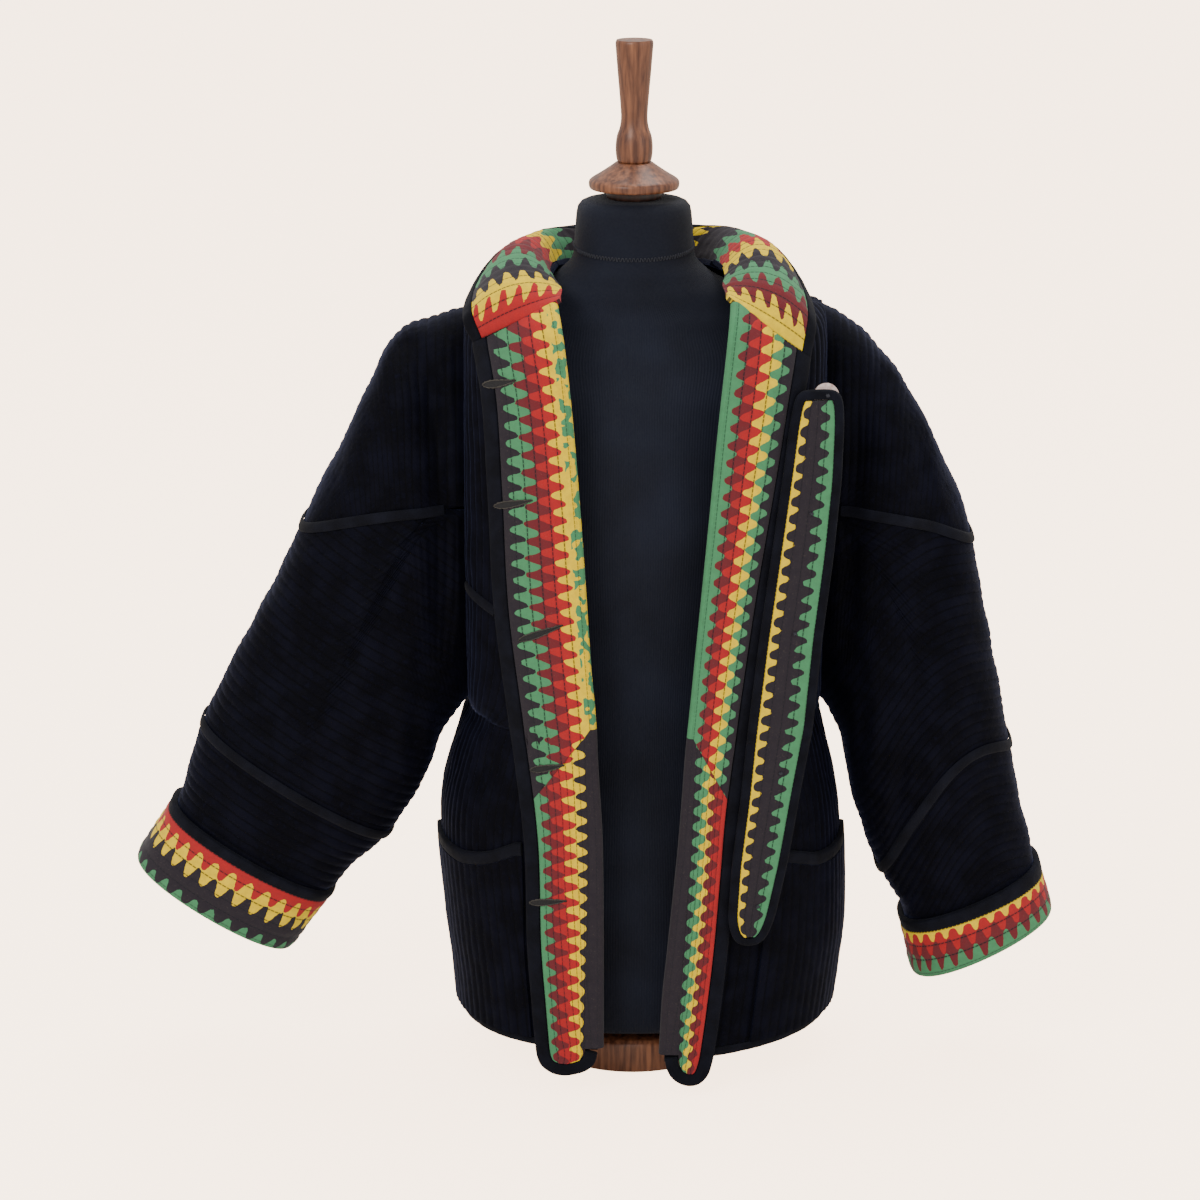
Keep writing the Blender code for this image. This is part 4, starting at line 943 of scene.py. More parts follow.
class Nodes:
    """Short calls that build one material's node tree."""

    def __init__(self, name: str) -> None:
        self.material = bpy.data.materials.new(name)
        self.material.use_nodes = True
        self.tree = self.material.node_tree
        self.shader = self.tree.nodes["Principled BSDF"]
        self.places = self.tree.nodes.new("ShaderNodeTexCoord").outputs["Object"]

    def add(self, kind: str, *values: object, **settings: object) -> bpy.types.Node:
        """A new node.

        Args:
            kind: Its type.
            values: Numbers or sockets for its inputs, in order.
            settings: Properties of the node.

        Returns:
            The node.
        """
        node = self.tree.nodes.new(kind)
        for key, value in settings.items():
            setattr(node, key, value)
        for socket, value in zip(node.inputs, values):
            self.put(socket, value)
        return node

    def put(self, socket: bpy.types.NodeSocket, value: object) -> None:
        """Sets an input to a number, or links it.

        Args:
            socket: The input.
            value: A number, a colour or another node's socket.
        """
        if isinstance(value, bpy.types.NodeSocket):
            self.tree.links.new(value, socket)
        elif value is not None:
            socket.default_value = value

    def math(self, operation: str, first: object, second: object = 0.0) -> bpy.types.NodeSocket:
        """Result of a maths node.

        Args:
            operation: Its operation.
            first: Number or socket.
            second: Number or socket.

        Returns:
            The output socket.
        """
        return self.add("ShaderNodeMath", first, second, operation=operation).outputs[0]

    def mix(self, part: object, first: object, second: object) -> bpy.types.NodeSocket:
        """Colour between two others.

        Args:
            part: Share of the second.
            first: Colour or socket.
            second: Colour or socket.

        Returns:
            The output socket.
        """
        node = self.add("ShaderNodeMix", data_type="RGBA")
        self.put(node.inputs[0], part)
        for place, value in ((6, first), (7, second)):
            self.put(node.inputs[place], (*value, 1) if isinstance(value, tuple) else value)
        return node.outputs[2]

    def noise(self, scale: float, detail: float = 2.0, vector: object = None) -> bpy.types.NodeSocket:
        """Grey noise.

        Args:
            scale: Waves to the metre.
            detail: Octaves.
            vector: Coordinates, by default the object's.

        Returns:
            The output socket.
        """
        node = self.add("ShaderNodeTexNoise")
        self.put(node.inputs["Vector"], self.places if vector is None else vector)
        self.put(node.inputs["Scale"], scale)
        self.put(node.inputs["Detail"], detail)
        return node.outputs[0]

    def band(self, value: object, low: float, high: float) -> bpy.types.NodeSocket:
        """Value stretched so that low becomes 0 and high becomes 1, within 0 to 1.

        Args:
            value: The socket.
            low: Its value at 0.
            high: Its value at 1.

        Returns:
            The output socket.
        """
        node = self.add("ShaderNodeMapRange", value, low, high)
        return node.outputs[0]

    def bump(self, height: object, strength: float, distance: float, under: object = None) -> object:
        """Bump of the shader's normal.

        Args:
            height: The socket with heights.
            strength: Strength of the bump.
            distance: Its depth in metres.
            under: Normal of another bump below it.

        Returns:
            The normal socket.
        """
        node = self.add("ShaderNodeBump")
        node.inputs["Strength"].default_value = strength
        node.inputs["Distance"].default_value = distance
        self.put(node.inputs["Height"], height)
        if under is not None:
            self.put(node.inputs["Normal"], under)
        self.put(self.shader.inputs["Normal"], node.outputs[0])
        return node.outputs[0]

    def uv(self, layer: str = "Print") -> tuple[bpy.types.NodeSocket, bpy.types.NodeSocket]:
        """Both numbers of the piece's own coordinates.

        Args:
            layer: Which set of coordinates.

        Returns:
            Their sockets.
        """
        read = self.add("ShaderNodeUVMap", uv_map=layer).outputs[0]
        split = self.add("ShaderNodeSeparateXYZ", read)
        return split.outputs[0], split.outputs[1]

    def seams(self, width: float, dash: float = 0.7) -> tuple[bpy.types.NodeSocket, bpy.types.NodeSocket]:
        """Masks for painted shade in the grooves and for dashes along the piece's sewn lines.

        Args:
            width: Half width of the groove, as a share of a channel.
            dash: Share of each stitch that its thread fills.

        Returns:
            A socket that falls from 1 on the line, for painted groove shade, and one that is 1 on the thread.
        """
        number, run = self.uv("Sewn")
        near = self.math("ABSOLUTE", self.math("SUBTRACT", self.math("FRACT", number), 0.5))
        groove_shade = self.band(near, 0.5 - width, 0.5)
        stitch = self.math("LESS_THAN", self.math("FRACT", self.math("MULTIPLY", run, STITCHES)), dash)
        thread = self.math("GREATER_THAN", near, 0.5 - width * 0.3)
        return groove_shade, self.math("MULTIPLY", thread, stitch)

    def done(self, **values: object) -> bpy.types.Material:
        """Sets inputs of the shader.

        Args:
            values: Numbers, colours or sockets; an underscore stands for a space.

        Returns:
            The material.
        """
        for key, value in values.items():
            value = (*value, 1) if isinstance(value, tuple) and len(value) == 3 else value
            self.put(self.shader.inputs[key.replace("_", " ")], value)
        return self.material


@dataclass(frozen=True)
class Velvet:
    """Black cotton velvet with a grey-blue sheen and a brushed pile."""

    deep: tuple = (0.0007, 0.0008, 0.0032)
    brushed: tuple = (0.0026, 0.0030, 0.0092)
    # painted shade: the colour that the velvet darkens to in its sewn grooves
    line: tuple = (0.0004, 0.0004, 0.0008)
    sheen: float = 0.16

    def material(self) -> bpy.types.Material:
        """Makes the material.

        Returns:
            The material.
        """
        nodes = Nodes("velvet_pile")
        brushed = nodes.band(nodes.noise(38, 4), 0.42, 0.66)
        crush = nodes.noise(210, 3)
        colour = nodes.mix(brushed, self.deep, self.brushed)
        colour = nodes.mix(nodes.band(crush, 0.55, 0.75), colour, self.brushed)
        groove_shade, thread = nodes.seams(0.16)
        # painted shade darkens the velvet into its sewn grooves
        colour = nodes.mix(nodes.math("MULTIPLY", groove_shade, 0.7), colour, self.line)
        under = nodes.bump(nodes.math("SUBTRACT", 1.0, thread), 0.5, 0.0005)
        under = nodes.bump(crush, 0.35, 0.0009, under)
        nodes.bump(nodes.noise(1900, 2), 0.3, 0.0003, under)
        rough = nodes.band(crush, -2.2, 1.4)
        return nodes.done(Base_Color=colour, Roughness=rough, Sheen_Weight=self.sheen,
                          Sheen_Roughness=0.32, Sheen_Tint=(0.30, 0.36, 0.78), Specular_IOR_Level=0.08)


@dataclass(frozen=True)
class Tape:
    """Plain woven cotton of the bindings, folded over the edges."""

    deep: tuple = (0.0014, 0.0017, 0.0045)
    worn: tuple = (0.0046, 0.0055, 0.0120)

    def material(self) -> bpy.types.Material:
        """Makes the material.

        Returns:
            The material.
        """
        nodes = Nodes("binding_cotton")
        weave = nodes.noise(1400, 2)
        colour = nodes.mix(nodes.band(nodes.noise(55, 3), 0.38, 0.68), self.deep, self.worn)
        colour = nodes.mix(nodes.band(weave, 0.5, 0.8), colour, self.worn)
        under = nodes.bump(nodes.noise(150, 2), 0.4, 0.0012)
        nodes.bump(weave, 0.35, 0.0003, under)
        return nodes.done(Base_Color=colour, Roughness=nodes.band(weave, -2.5, 1.3),
                          Sheen_Weight=0.03, Sheen_Roughness=0.5, Specular_IOR_Level=0.12)


class Ink(Enum):
    """Inks of the block print."""

    BLACK = (0.020, 0.016, 0.023)
    GREEN = (0.070, 0.285, 0.125)
    RED = (0.46, 0.018, 0.020)
    MAROON = (0.165, 0.018, 0.024)
    YELLOW = (0.94, 0.65, 0.002)


@dataclass(frozen=True)
class Print:
    """Block-printed cotton: serrated stripes side by side, sewn in rows."""

    name: str
    inks: tuple
    widths: tuple = ()
    tooth: float = 0.48
    tooth_pitch: float = 15.5
    shift: float = 2.4
    fleck: Ink | None = None
    fleck_until: float = 0.4

    def numbers(self, share: Array) -> Array:
        """Stripe numbers over the width of a piece.

        Args:
            share: Share of the width, from 0 to 1.

        Returns:
            Fractional numbers of the stripes, half a number over where one starts.
        """
        widths = np.array(self.widths or [1] * len(self.inks), float)
        edges = np.concatenate([[0], np.cumsum(widths)]) / widths.sum()
        return np.interp(share, edges, np.arange(len(edges)))

    def ramp(self, nodes: Nodes, number: bpy.types.NodeSocket) -> bpy.types.NodeSocket:
        """Ink of each stripe.

        Args:
            nodes: The tree.
            number: Whole numbers of the stripes.

        Returns:
            The colour socket.
        """
        count = len(self.inks)
        kept = nodes.math("MINIMUM", nodes.math("MAXIMUM", number, 0.0), count - 1.0)
        share = nodes.math("DIVIDE", nodes.math("ADD", kept, 0.5), count)
        ramp = nodes.add("ShaderNodeValToRGB", share)
        ramp.color_ramp.interpolation = "CONSTANT"
        stops = ramp.color_ramp.elements
        while len(stops) < count:
            stops.new(0.5)
        for i, ink in enumerate(self.inks):
            stops[i].position = i / count
            stops[i].color = (*ink.value, 1)
        return ramp.outputs[0]

    def material(self) -> bpy.types.Material:
        """Makes the material.

        Returns:
            The material.
        """
        nodes = Nodes(self.name)
        across, down = nodes.uv()
        ragged = nodes.math("MULTIPLY", nodes.math("SUBTRACT", nodes.noise(95, 2), 0.5), 0.4)
        fine = nodes.math("MULTIPLY", nodes.math("SUBTRACT", nodes.noise(420, 2), 0.5), 0.25)
        place = nodes.math("ADD", nodes.math("ADD", across, ragged), fine)
        nearest = nodes.math("FLOOR", nodes.math("ADD", place, 0.5))
        drift = nodes.math("MULTIPLY", nodes.noise(7, 1), 4.0)
        phase = nodes.math("ADD", nodes.math("MULTIPLY", nearest, self.shift), drift)
        turn = nodes.math("MULTIPLY", down, 2 * math.pi / (self.tooth_pitch * MM))
        wave = nodes.math("SINE", nodes.math("ADD", turn, phase))
        flattened = nodes.math("MULTIPLY", nodes.math("MULTIPLY", wave, wave), -0.35)
        rounded = nodes.math("MULTIPLY", wave, nodes.math("ADD", flattened, 1.35))
        colour = self.ramp(nodes, nodes.math("FLOOR", nodes.math("ADD", place, nodes.math(
            "MULTIPLY", rounded, self.tooth))))
        if self.fleck:
            blobs = nodes.math("GREATER_THAN", nodes.noise(95, 1), 0.53)
            early = nodes.math("LESS_THAN", nodes.math("ADD", across, ragged), self.fleck_until)
            colour = nodes.mix(nodes.math("MULTIPLY", blobs, early), colour, self.fleck.value)
        faded = nodes.band(nodes.noise(160, 4), 0.3, 0.75)
        colour = nodes.mix(nodes.math("MULTIPLY", faded, 0.22), colour, (0.045, 0.035, 0.04))
        lifted = nodes.band(nodes.noise(700, 2), 0.62, 0.8)
        colour = nodes.mix(nodes.math("MULTIPLY", lifted, 0.08), colour, (0.5, 0.42, 0.3))
        groove_shade, thread = nodes.seams(0.14, 0.72)
        # painted shade darkens the lining into its sewn grooves
        colour = nodes.mix(nodes.math("MULTIPLY", groove_shade, 0.35), colour, (0.02, 0.015, 0.02))
        colour = nodes.mix(nodes.math("MULTIPLY", thread, 0.85), colour, (0.012, 0.012, 0.018))
        under = nodes.bump(nodes.noise(130, 3), 0.5, 0.0016)
        under = nodes.bump(nodes.noise(1500, 2), 0.3, 0.0003, under)
        nodes.bump(nodes.math("SUBTRACT", 1.0, thread), 0.6, 0.0006, under)
        return nodes.done(Base_Color=colour, Roughness=nodes.band(nodes.noise(700, 2), -3.0, 1.2),
                          Specular_IOR_Level=0.2, Sheen_Weight=0.1)


@dataclass(frozen=True)
class Jersey:
    """Dark navy rib knit stretched over the form."""

    deep: tuple = (0.0034, 0.0044, 0.0098)
    lit: tuple = (0.0105, 0.0140, 0.0285)
    rib: float = 2.3

    def material(self) -> bpy.types.Material:
        """Makes the material.

        Returns:
            The material.
        """
        nodes = Nodes("jersey_rib")
        around, _ = nodes.uv()
        turn = nodes.math("MULTIPLY", around, 2 * math.pi / (self.rib * MM))
        rib = nodes.band(nodes.math("SINE", turn), -1, 1)
        cloudy = nodes.band(nodes.noise(9, 3), 0.35, 0.7)
        colour = nodes.mix(cloudy, self.deep, self.lit)
        colour = nodes.mix(nodes.math("MULTIPLY", rib, 0.3), colour, self.lit)
        under = nodes.bump(rib, 0.4, 0.0004)
        nodes.bump(nodes.noise(1300, 2), 0.2, 0.0002, under)
        return nodes.done(Base_Color=colour, Roughness=nodes.band(nodes.noise(500, 2), -2.0, 1.3),
                          Sheen_Weight=0.08, Sheen_Roughness=0.4, Specular_IOR_Level=0.2)


@dataclass(frozen=True)
class Wood:
    """Turned wood with grain up its height and a waxed finish."""

    name: str
    dark: tuple
    light: tuple
    roughness: float = 0.42

    def material(self) -> bpy.types.Material:
        """Makes the material.

        Returns:
            The material.
        """
        nodes = Nodes(self.name)
        stretched = nodes.add("ShaderNodeMapping", nodes.places)
        stretched.inputs["Scale"].default_value = (1.0, 1.0, 0.09)
        grain = nodes.noise(260, 5, stretched.outputs[0])
        rings = nodes.noise(60, 3, stretched.outputs[0])
        colour = nodes.mix(nodes.band(grain, 0.35, 0.68), self.dark, self.light)
        shade = nodes.math("MULTIPLY", nodes.band(rings, 0.5, 0.72), 0.45)
        colour = nodes.mix(shade, colour, self.dark)
        nodes.bump(grain, 0.14, 0.0004)
        rough = nodes.math("ADD", self.roughness - 0.08, nodes.math("MULTIPLY", grain, 0.16))
        return nodes.done(Base_Color=colour, Roughness=rough, Coat_Weight=0.12, Coat_Roughness=0.3)


@dataclass(frozen=True)
class Shell:
    """Pale button shell."""

    pale: tuple = (0.72, 0.60, 0.55)
    pink: tuple = (0.48, 0.30, 0.27)

    def material(self) -> bpy.types.Material:
        """Makes the material.

        Returns:
            The material.
        """
        nodes = Nodes("button_shell")
        colour = nodes.mix(nodes.band(nodes.noise(300, 4), 0.35, 0.7), self.pale, self.pink)
        nodes.bump(nodes.noise(420, 3), 0.15, 0.0004)
        return nodes.done(Base_Color=colour, Roughness=nodes.band(nodes.noise(300, 2), -0.6, 1.9),
                          Coat_Weight=0.3, Coat_Roughness=0.15)


@dataclass(frozen=True)
class Thread:
    """Sewing thread with a twist."""

    name: str
    colour: tuple = (0.014, 0.015, 0.022)

    def material(self) -> bpy.types.Material:
        """Makes the material.

        Returns:
            The material.
        """
        nodes = Nodes(self.name)
        lighter = tuple(min(1.0, v * 2.6 + 0.001) for v in self.colour)
        colour = nodes.mix(nodes.band(nodes.noise(1200, 2), 0.4, 0.7), self.colour, lighter)
        nodes.bump(nodes.noise(2200, 2), 0.4, 0.0003)
        return nodes.done(Base_Color=colour, Roughness=nodes.band(nodes.noise(900, 2), -1.5, 1.3))


@dataclass(frozen=True)
class VelvetBody:
    """Fronts, back and yokes, quilted in upright channels."""

    velvet: bpy.types.Material
    row_pitch: float = 6.0
    columns: int = 121
    swell: float = 1.3

    def half(self, side: Side, back: bool, first: float, last: float) -> tuple[Array, ...]:
        """One panel's grids.

        Args:
            side: Its side.
            back: Whether it belongs to the back.
            first: Lowest level.
            last: Highest level.

        Returns:
            Plain surface, outer points, inner points, print and sewn coordinates.
        """
        form = HalfBody(side, back)
        levels = form.even_levels(first, last, self.row_pitch)
        turns = form.even_turns(levels, self.columns)
        point, normal, _ = form.frame(levels[:, None], turns)
        normal = form.edged(normal, levels[:, None], turns)
        run, up = lengths(point, 1), lengths(point, 0)
        number = run / VELVET_PITCH
        rise = quilted(number, VELVET_RISE, 0.22 * ripple(run * 0.4, point[..., 2], 8, 3))
        ends = np.minimum(up, up[-1:] - up)
        rise = rise * np.clip(ends / 8, 0.3, 1)
        free = np.clip(ends / 30, 0, 1) * np.clip(np.minimum(run, run[:, -1:] - run) / 25, 0, 1)
        if not back:
            corner = along(FRONT_EDGE[side], np.linspace(EDGE_CORNER, len(FRONT_EDGE[side]) - 1, 60))
            edge = np.interp(point[..., 2], corner[:, 1], corner[:, 0])
            beyond = np.abs(point[..., 0]) - edge
            rise = rise * np.clip(1 + beyond / 9, 0, 1)
            free = free * np.clip((beyond - 6) / 22, 0, 1) * np.clip((point[..., 2] - 262) / 30, 0, 1)
        height = rise + free * self.swell * ripple(run, point[..., 2], 62, 8 + back)
        height = height * np.where(turns > 0.999, 0, 1)
        outer, inner = point + normal * height[..., None], point - normal * CLOTH
        outer, inner = (eased(grid, 1, 0, SEAM_GAP / 2) for grid in (outer, inner))
        if not back:
            outer, inner = (eased(grid, 1, -1, 1.0) for grid in (outer, inner))
        uv = np.stack([run, up], axis=-1) * MM
        return point, outer, inner, uv, np.stack([number, up * MM], axis=-1)

    def panel(self, node: str, grids: tuple[Array, ...], edges: tuple, rests_on: list[str]) -> None:
        """Makes one piece.

        Args:
            node: The solid that it stands for.
            grids: What half returns.
            edges: Axis and place of each edge that a seam joins.
            rests_on: What it lies on.
        """
        plain, outer, inner, uv, sewn = grids
        for axis, place in edges:
            outer, inner = (eased(grid, axis, place, SEAM_GAP / 2) for grid in (outer, inner))
        sheet(node, outer, inner, self.velvet, "velvet", Held.HUNG, rests_on, plain, uv=uv, sewn=sewn)

    def build(self) -> None:
        """Builds the seven panels."""
        top = len(BACK_ROWS) - 1
        for side in Side:
            name = side.value
            for face, seams in (("front", ((0, 0), (0, -1))), ("back", ((0, 0), (0, -1), (1, -1)))):
                yoke = self.half(side, face == "back", SEAM_ROW, top)
                self.panel(f"{face}_yoke_{name}", yoke, seams, ["form_body"])
            self.panel(f"front_{name}", self.half(side, False, HEM_LEVEL, SEAM_ROW), ((0, -1),),
                       [f"front_yoke_{name}"])
        halves = [self.half(side, True, HEM_LEVEL, SEAM_ROW) for side in Side]
        joined = tuple(np.concatenate([a, b[:, -2::-1]], axis=1) for a, b in zip(*halves))
        self.panel("back", joined, ((0, -1),), ["back_yoke_left", "back_yoke_right"])


@dataclass(frozen=True)
class Hems:
    """Bindings along the lower edges of the fronts and the back."""

    tape: bpy.types.Material
    columns: int = 121
    levels: tuple = (0.0, 0.012, 0.045, 0.12, 0.175, HEM_LEVEL - 0.016)
    proud: tuple = (-1.0, 0.3, 0.8, 1.0, 0.9, 0.5)

    def half(self, side: Side, back: bool) -> tuple[Array, Array, Array]:
        """Grids of one half.

        Args:
            side: Its side.
            back: Whether it belongs to the back.

        Returns:
            Plain surface, outer and inner points.
        """
        form = HalfBody(side, back)
        levels = np.array(self.levels)
        turns = form.even_turns(levels, self.columns)
        point, normal, _ = form.frame(levels[:, None], turns)
        normal = form.edged(normal, levels[:, None], turns)
        proud = np.array(self.proud)[:, None]
        ruffled = proud + 0.22 * ripple(lengths(point, 1), point[..., 2], 16, 5) * (proud > 0)
        outer = eased(point + normal * ruffled[..., None], 1, 0, SEAM_GAP / 2)
        return point, outer, eased(point - normal * (CLOTH + proud[..., None]), 1, 0, SEAM_GAP / 2)

    def build(self) -> None:
        """Builds the three bindings."""
        for side in Side:
            point, outer, inner = self.half(side, False)
            sheet(f"hem_binding_front_{side.value}", outer, inner, self.tape, "tape", Held.FOLDED,
                  [f"front_{side.value}"], point)
        halves = [self.half(side, True) for side in Side]
        point, outer, inner = (np.concatenate([a, b[:, -2::-1]], axis=1) for a, b in zip(*halves))
        sheet("hem_binding_back", outer, inner, self.tape, "tape", Held.FOLDED, ["back"], point)


@dataclass(frozen=True)
class Sleeves:
    """Upper, middle and lower sleeve of each arm, quilted in channels round the arm."""

    velvet: bpy.types.Material
    columns: int = ARM_COLUMNS
    rows: tuple = (84, 172, 96)
    flat_from: float = 0.12
    crinkles: int = 52
    swell: float = 1.4

    def sewn_on(self, side: Side, sections: Array, turns: Array, number_from: int, ring: bool) -> list:
        """Grids of one stretch of sleeve.

        Args:
            side: Its side.
            sections: Section numbers, rows from the shoulder to the cuff.
            turns: Turns in degrees, one for each column.
            number_from: 0 where the lines follow the upper edge, -1 the lower one.
            ring: Whether it closes.

        Returns:
            Plain surface, outer, inner, print and sewn coordinates.
        """
        point, normal, _ = SleeveForm(side).frame(sections, turns[None, :])
        down = lengths(point, 0)
        whole = down[-1:]
        across = np.abs(down - (whole if number_from else 0))
        number = across / VELVET_PITCH
        around = turns[None, :] * np.ones_like(down) * ARM_SPREAD if ring else lengths(point, 1)
        crinkled = np.sin(around / 360 / ARM_SPREAD * 2 * math.pi * self.crinkles
                          + 5 * ripple(down, np.zeros_like(down), 30, 2))
        rise = quilted(number, VELVET_RISE, 0.16 * crinkled)
        ends = np.minimum(down, whole - down)
        rise = rise * np.clip(ends / 9, 0.3, 1)
        clear = np.clip((np.abs(point[..., 0]) - ARMHOLE_X[side] - SEAM_GAP) / 14, 0, 1)
        angle = np.radians(turns)[None, :]
        waves = ripple(down, 90 * np.sin(angle), 70, 21) + ripple(down, 90 * np.cos(angle), 60, 22)
        free = np.clip(ends / 26, 0, 1) * clear * 0.6
        height = (rise + free * self.swell * waves) * clear
        uv = np.stack([around, down], axis=-1) * MM
        sewn = np.stack([number, around * MM], axis=-1)
        return [point, point + normal * height[..., None], point - normal * CLOTH, uv, sewn]

    def piece(self, node: str, grids: list, ring: bool, rests_on: str) -> None:
        """Makes one piece.

        Args:
            node: The solid that it stands for.
            grids: What sewn_on returns.
            ring: Whether it closes.
            rests_on: What it hangs from.
        """
        plain, outer, inner, uv, sewn = grids
        sheet(node, outer, inner, self.velvet, "velvet", Held.HUNG, [rests_on], plain, ring, uv=uv, sewn=sewn)

    def build(self) -> None:
        """Builds the six stretches."""
        turns = np.arange(self.columns) * 360 / self.columns
        for side in Side:
            name, form = side.value, SleeveForm(side)
            start = (UPPER_SEAM_Z - UNDERARM_Z) / (SHOULDER_Z[side] - UNDERARM_Z)
            first = math.degrees(math.acos(1 - 2 * start)) + 0.8
            over = np.linspace(first, 360 - first, self.rows[0])
            reach = form.upper_seam(over)
            reach[0] = reach[-1] = 0
            sections = np.linspace(0, 1, self.rows[0])[:, None] * reach
            grids = self.sewn_on(side, sections, over, 0, False)
            for grid in grids[1:3]:
                grid[:, 1:-1] = eased(grid[:, 1:-1], 0, -1, SEAM_GAP / 2)
            self.piece(f"sleeve_upper_{name}", grids, False, f"front_yoke_{name}")

            seam, low = form.upper_seam(turns), form.lower_seam(turns)
            sections = seam + (low - seam) * np.linspace(0, 1, self.rows[1])[:, None]
            grids = self.sewn_on(side, sections, turns, -1, True)
            for place in (0, -1):
                grids[1:3] = [eased(grid, 0, place, SEAM_GAP / 2) for grid in grids[1:3]]
            self.piece(f"sleeve_middle_{name}", grids, True, f"sleeve_upper_{name}")

            sections = low + (SLEEVE_END - low) * np.linspace(0, 1, self.rows[2])[:, None]
            grids = self.sewn_on(side, sections, turns, 0, True)
            beyond = np.clip((sections - CUFF_START[side]) / self.flat_from + 1, 0, 1)[..., None]
            grids[1] = grids[1] + (grids[0] - grids[1]) * beyond
            grids[1:3] = [eased(grid, 0, 0, SEAM_GAP / 2) for grid in grids[1:3]]
            self.piece(f"sleeve_lower_{name}", grids, True, f"sleeve_middle_{name}")


@dataclass(frozen=True)
class Cuffs:
    """Turned-back cuffs with the lining side out and a bound edge."""

    tape: bpy.types.Material
    prints: dict
    columns: int = ARM_COLUMNS
    rows: int = 30
    lift: float = 1.0
    hidden: float = 7.0

    def build(self) -> None:
        """Builds both cuffs and their bindings."""
        turns = (np.arange(self.columns) * 360 / self.columns)[None, :]
        for side in Side:
            form, stripes = SleeveForm(side), self.prints[side]
            start = np.full((1, self.columns), CUFF_START[side])
            end = np.full((1, self.columns), SLEEVE_END)
            first, *_ = form.frame(start, turns)
            last, end_normal, end_down = form.frame(end, turns)
            length = np.linalg.norm(last - first, axis=-1)
            taped = start + (SLEEVE_END - start) * (TAPE_WIDTH + SEAM_GAP) / length
            sections = taped + (end - taped) * np.linspace(0, 1, self.rows)[:, None]
            point, out, _ = form.frame(sections, turns)
            down = lengths(point, 0)
            number = channel_number(down, down[-1:], LINING_PITCH)
            raised = quilted(number, LINING_RISE, 0.3 * ripple(down, turns * np.ones_like(down), 22, 31))
            outside, inside = rolled(last, end_down, end_normal, self.lift)
            outer = np.concatenate([point + out * (self.lift + CLOTH + raised[..., None]), *outside])
            inner = np.concatenate([point + out * self.lift, *inside])
            run = lengths(outer, 0)
            share = run / (run[self.rows - 1:self.rows] + self.hidden)
            around = np.broadcast_to(turns * ARM_SPREAD * MM, run.shape)
            number = np.pad(number, ((0, len(inside)), (0, 0)), constant_values=0.5)
            sheet(f"cuff_{side.value}", outer, inner, stripes.material(), "lining", Held.FOLDED,
                  [f"sleeve_lower_{side.value}"], np.concatenate([point, *outside]), True,
                  uv=np.stack([stripes.numbers(share), around], axis=-1),
                  sewn=np.stack([number, around], axis=-1))

            proud = self.lift + CLOTH + TAPE_PROUD
            part = np.array([0, 0.04, 0.15, 0.4, 0.7, 0.9, 0.95])[:, None]
            lifts = np.array([self.lift + 1.2, proud - 0.9, proud - 0.1, proud + 0.15, proud, proud - 0.2,
                              proud - 0.6])[:, None, None]
            point, out, _ = form.frame(start + (taped - start) * part, turns)
            outer = point + out * (lifts + 0.15 * ripple(turns * 3, part * 12, 14, 6)[..., None])
            sheet(f"cuff_binding_{side.value}", outer, point + out * (self.lift - 0.4), self.tape, "tape",
                  Held.FOLDED, [f"cuff_{side.value}"], point, True)


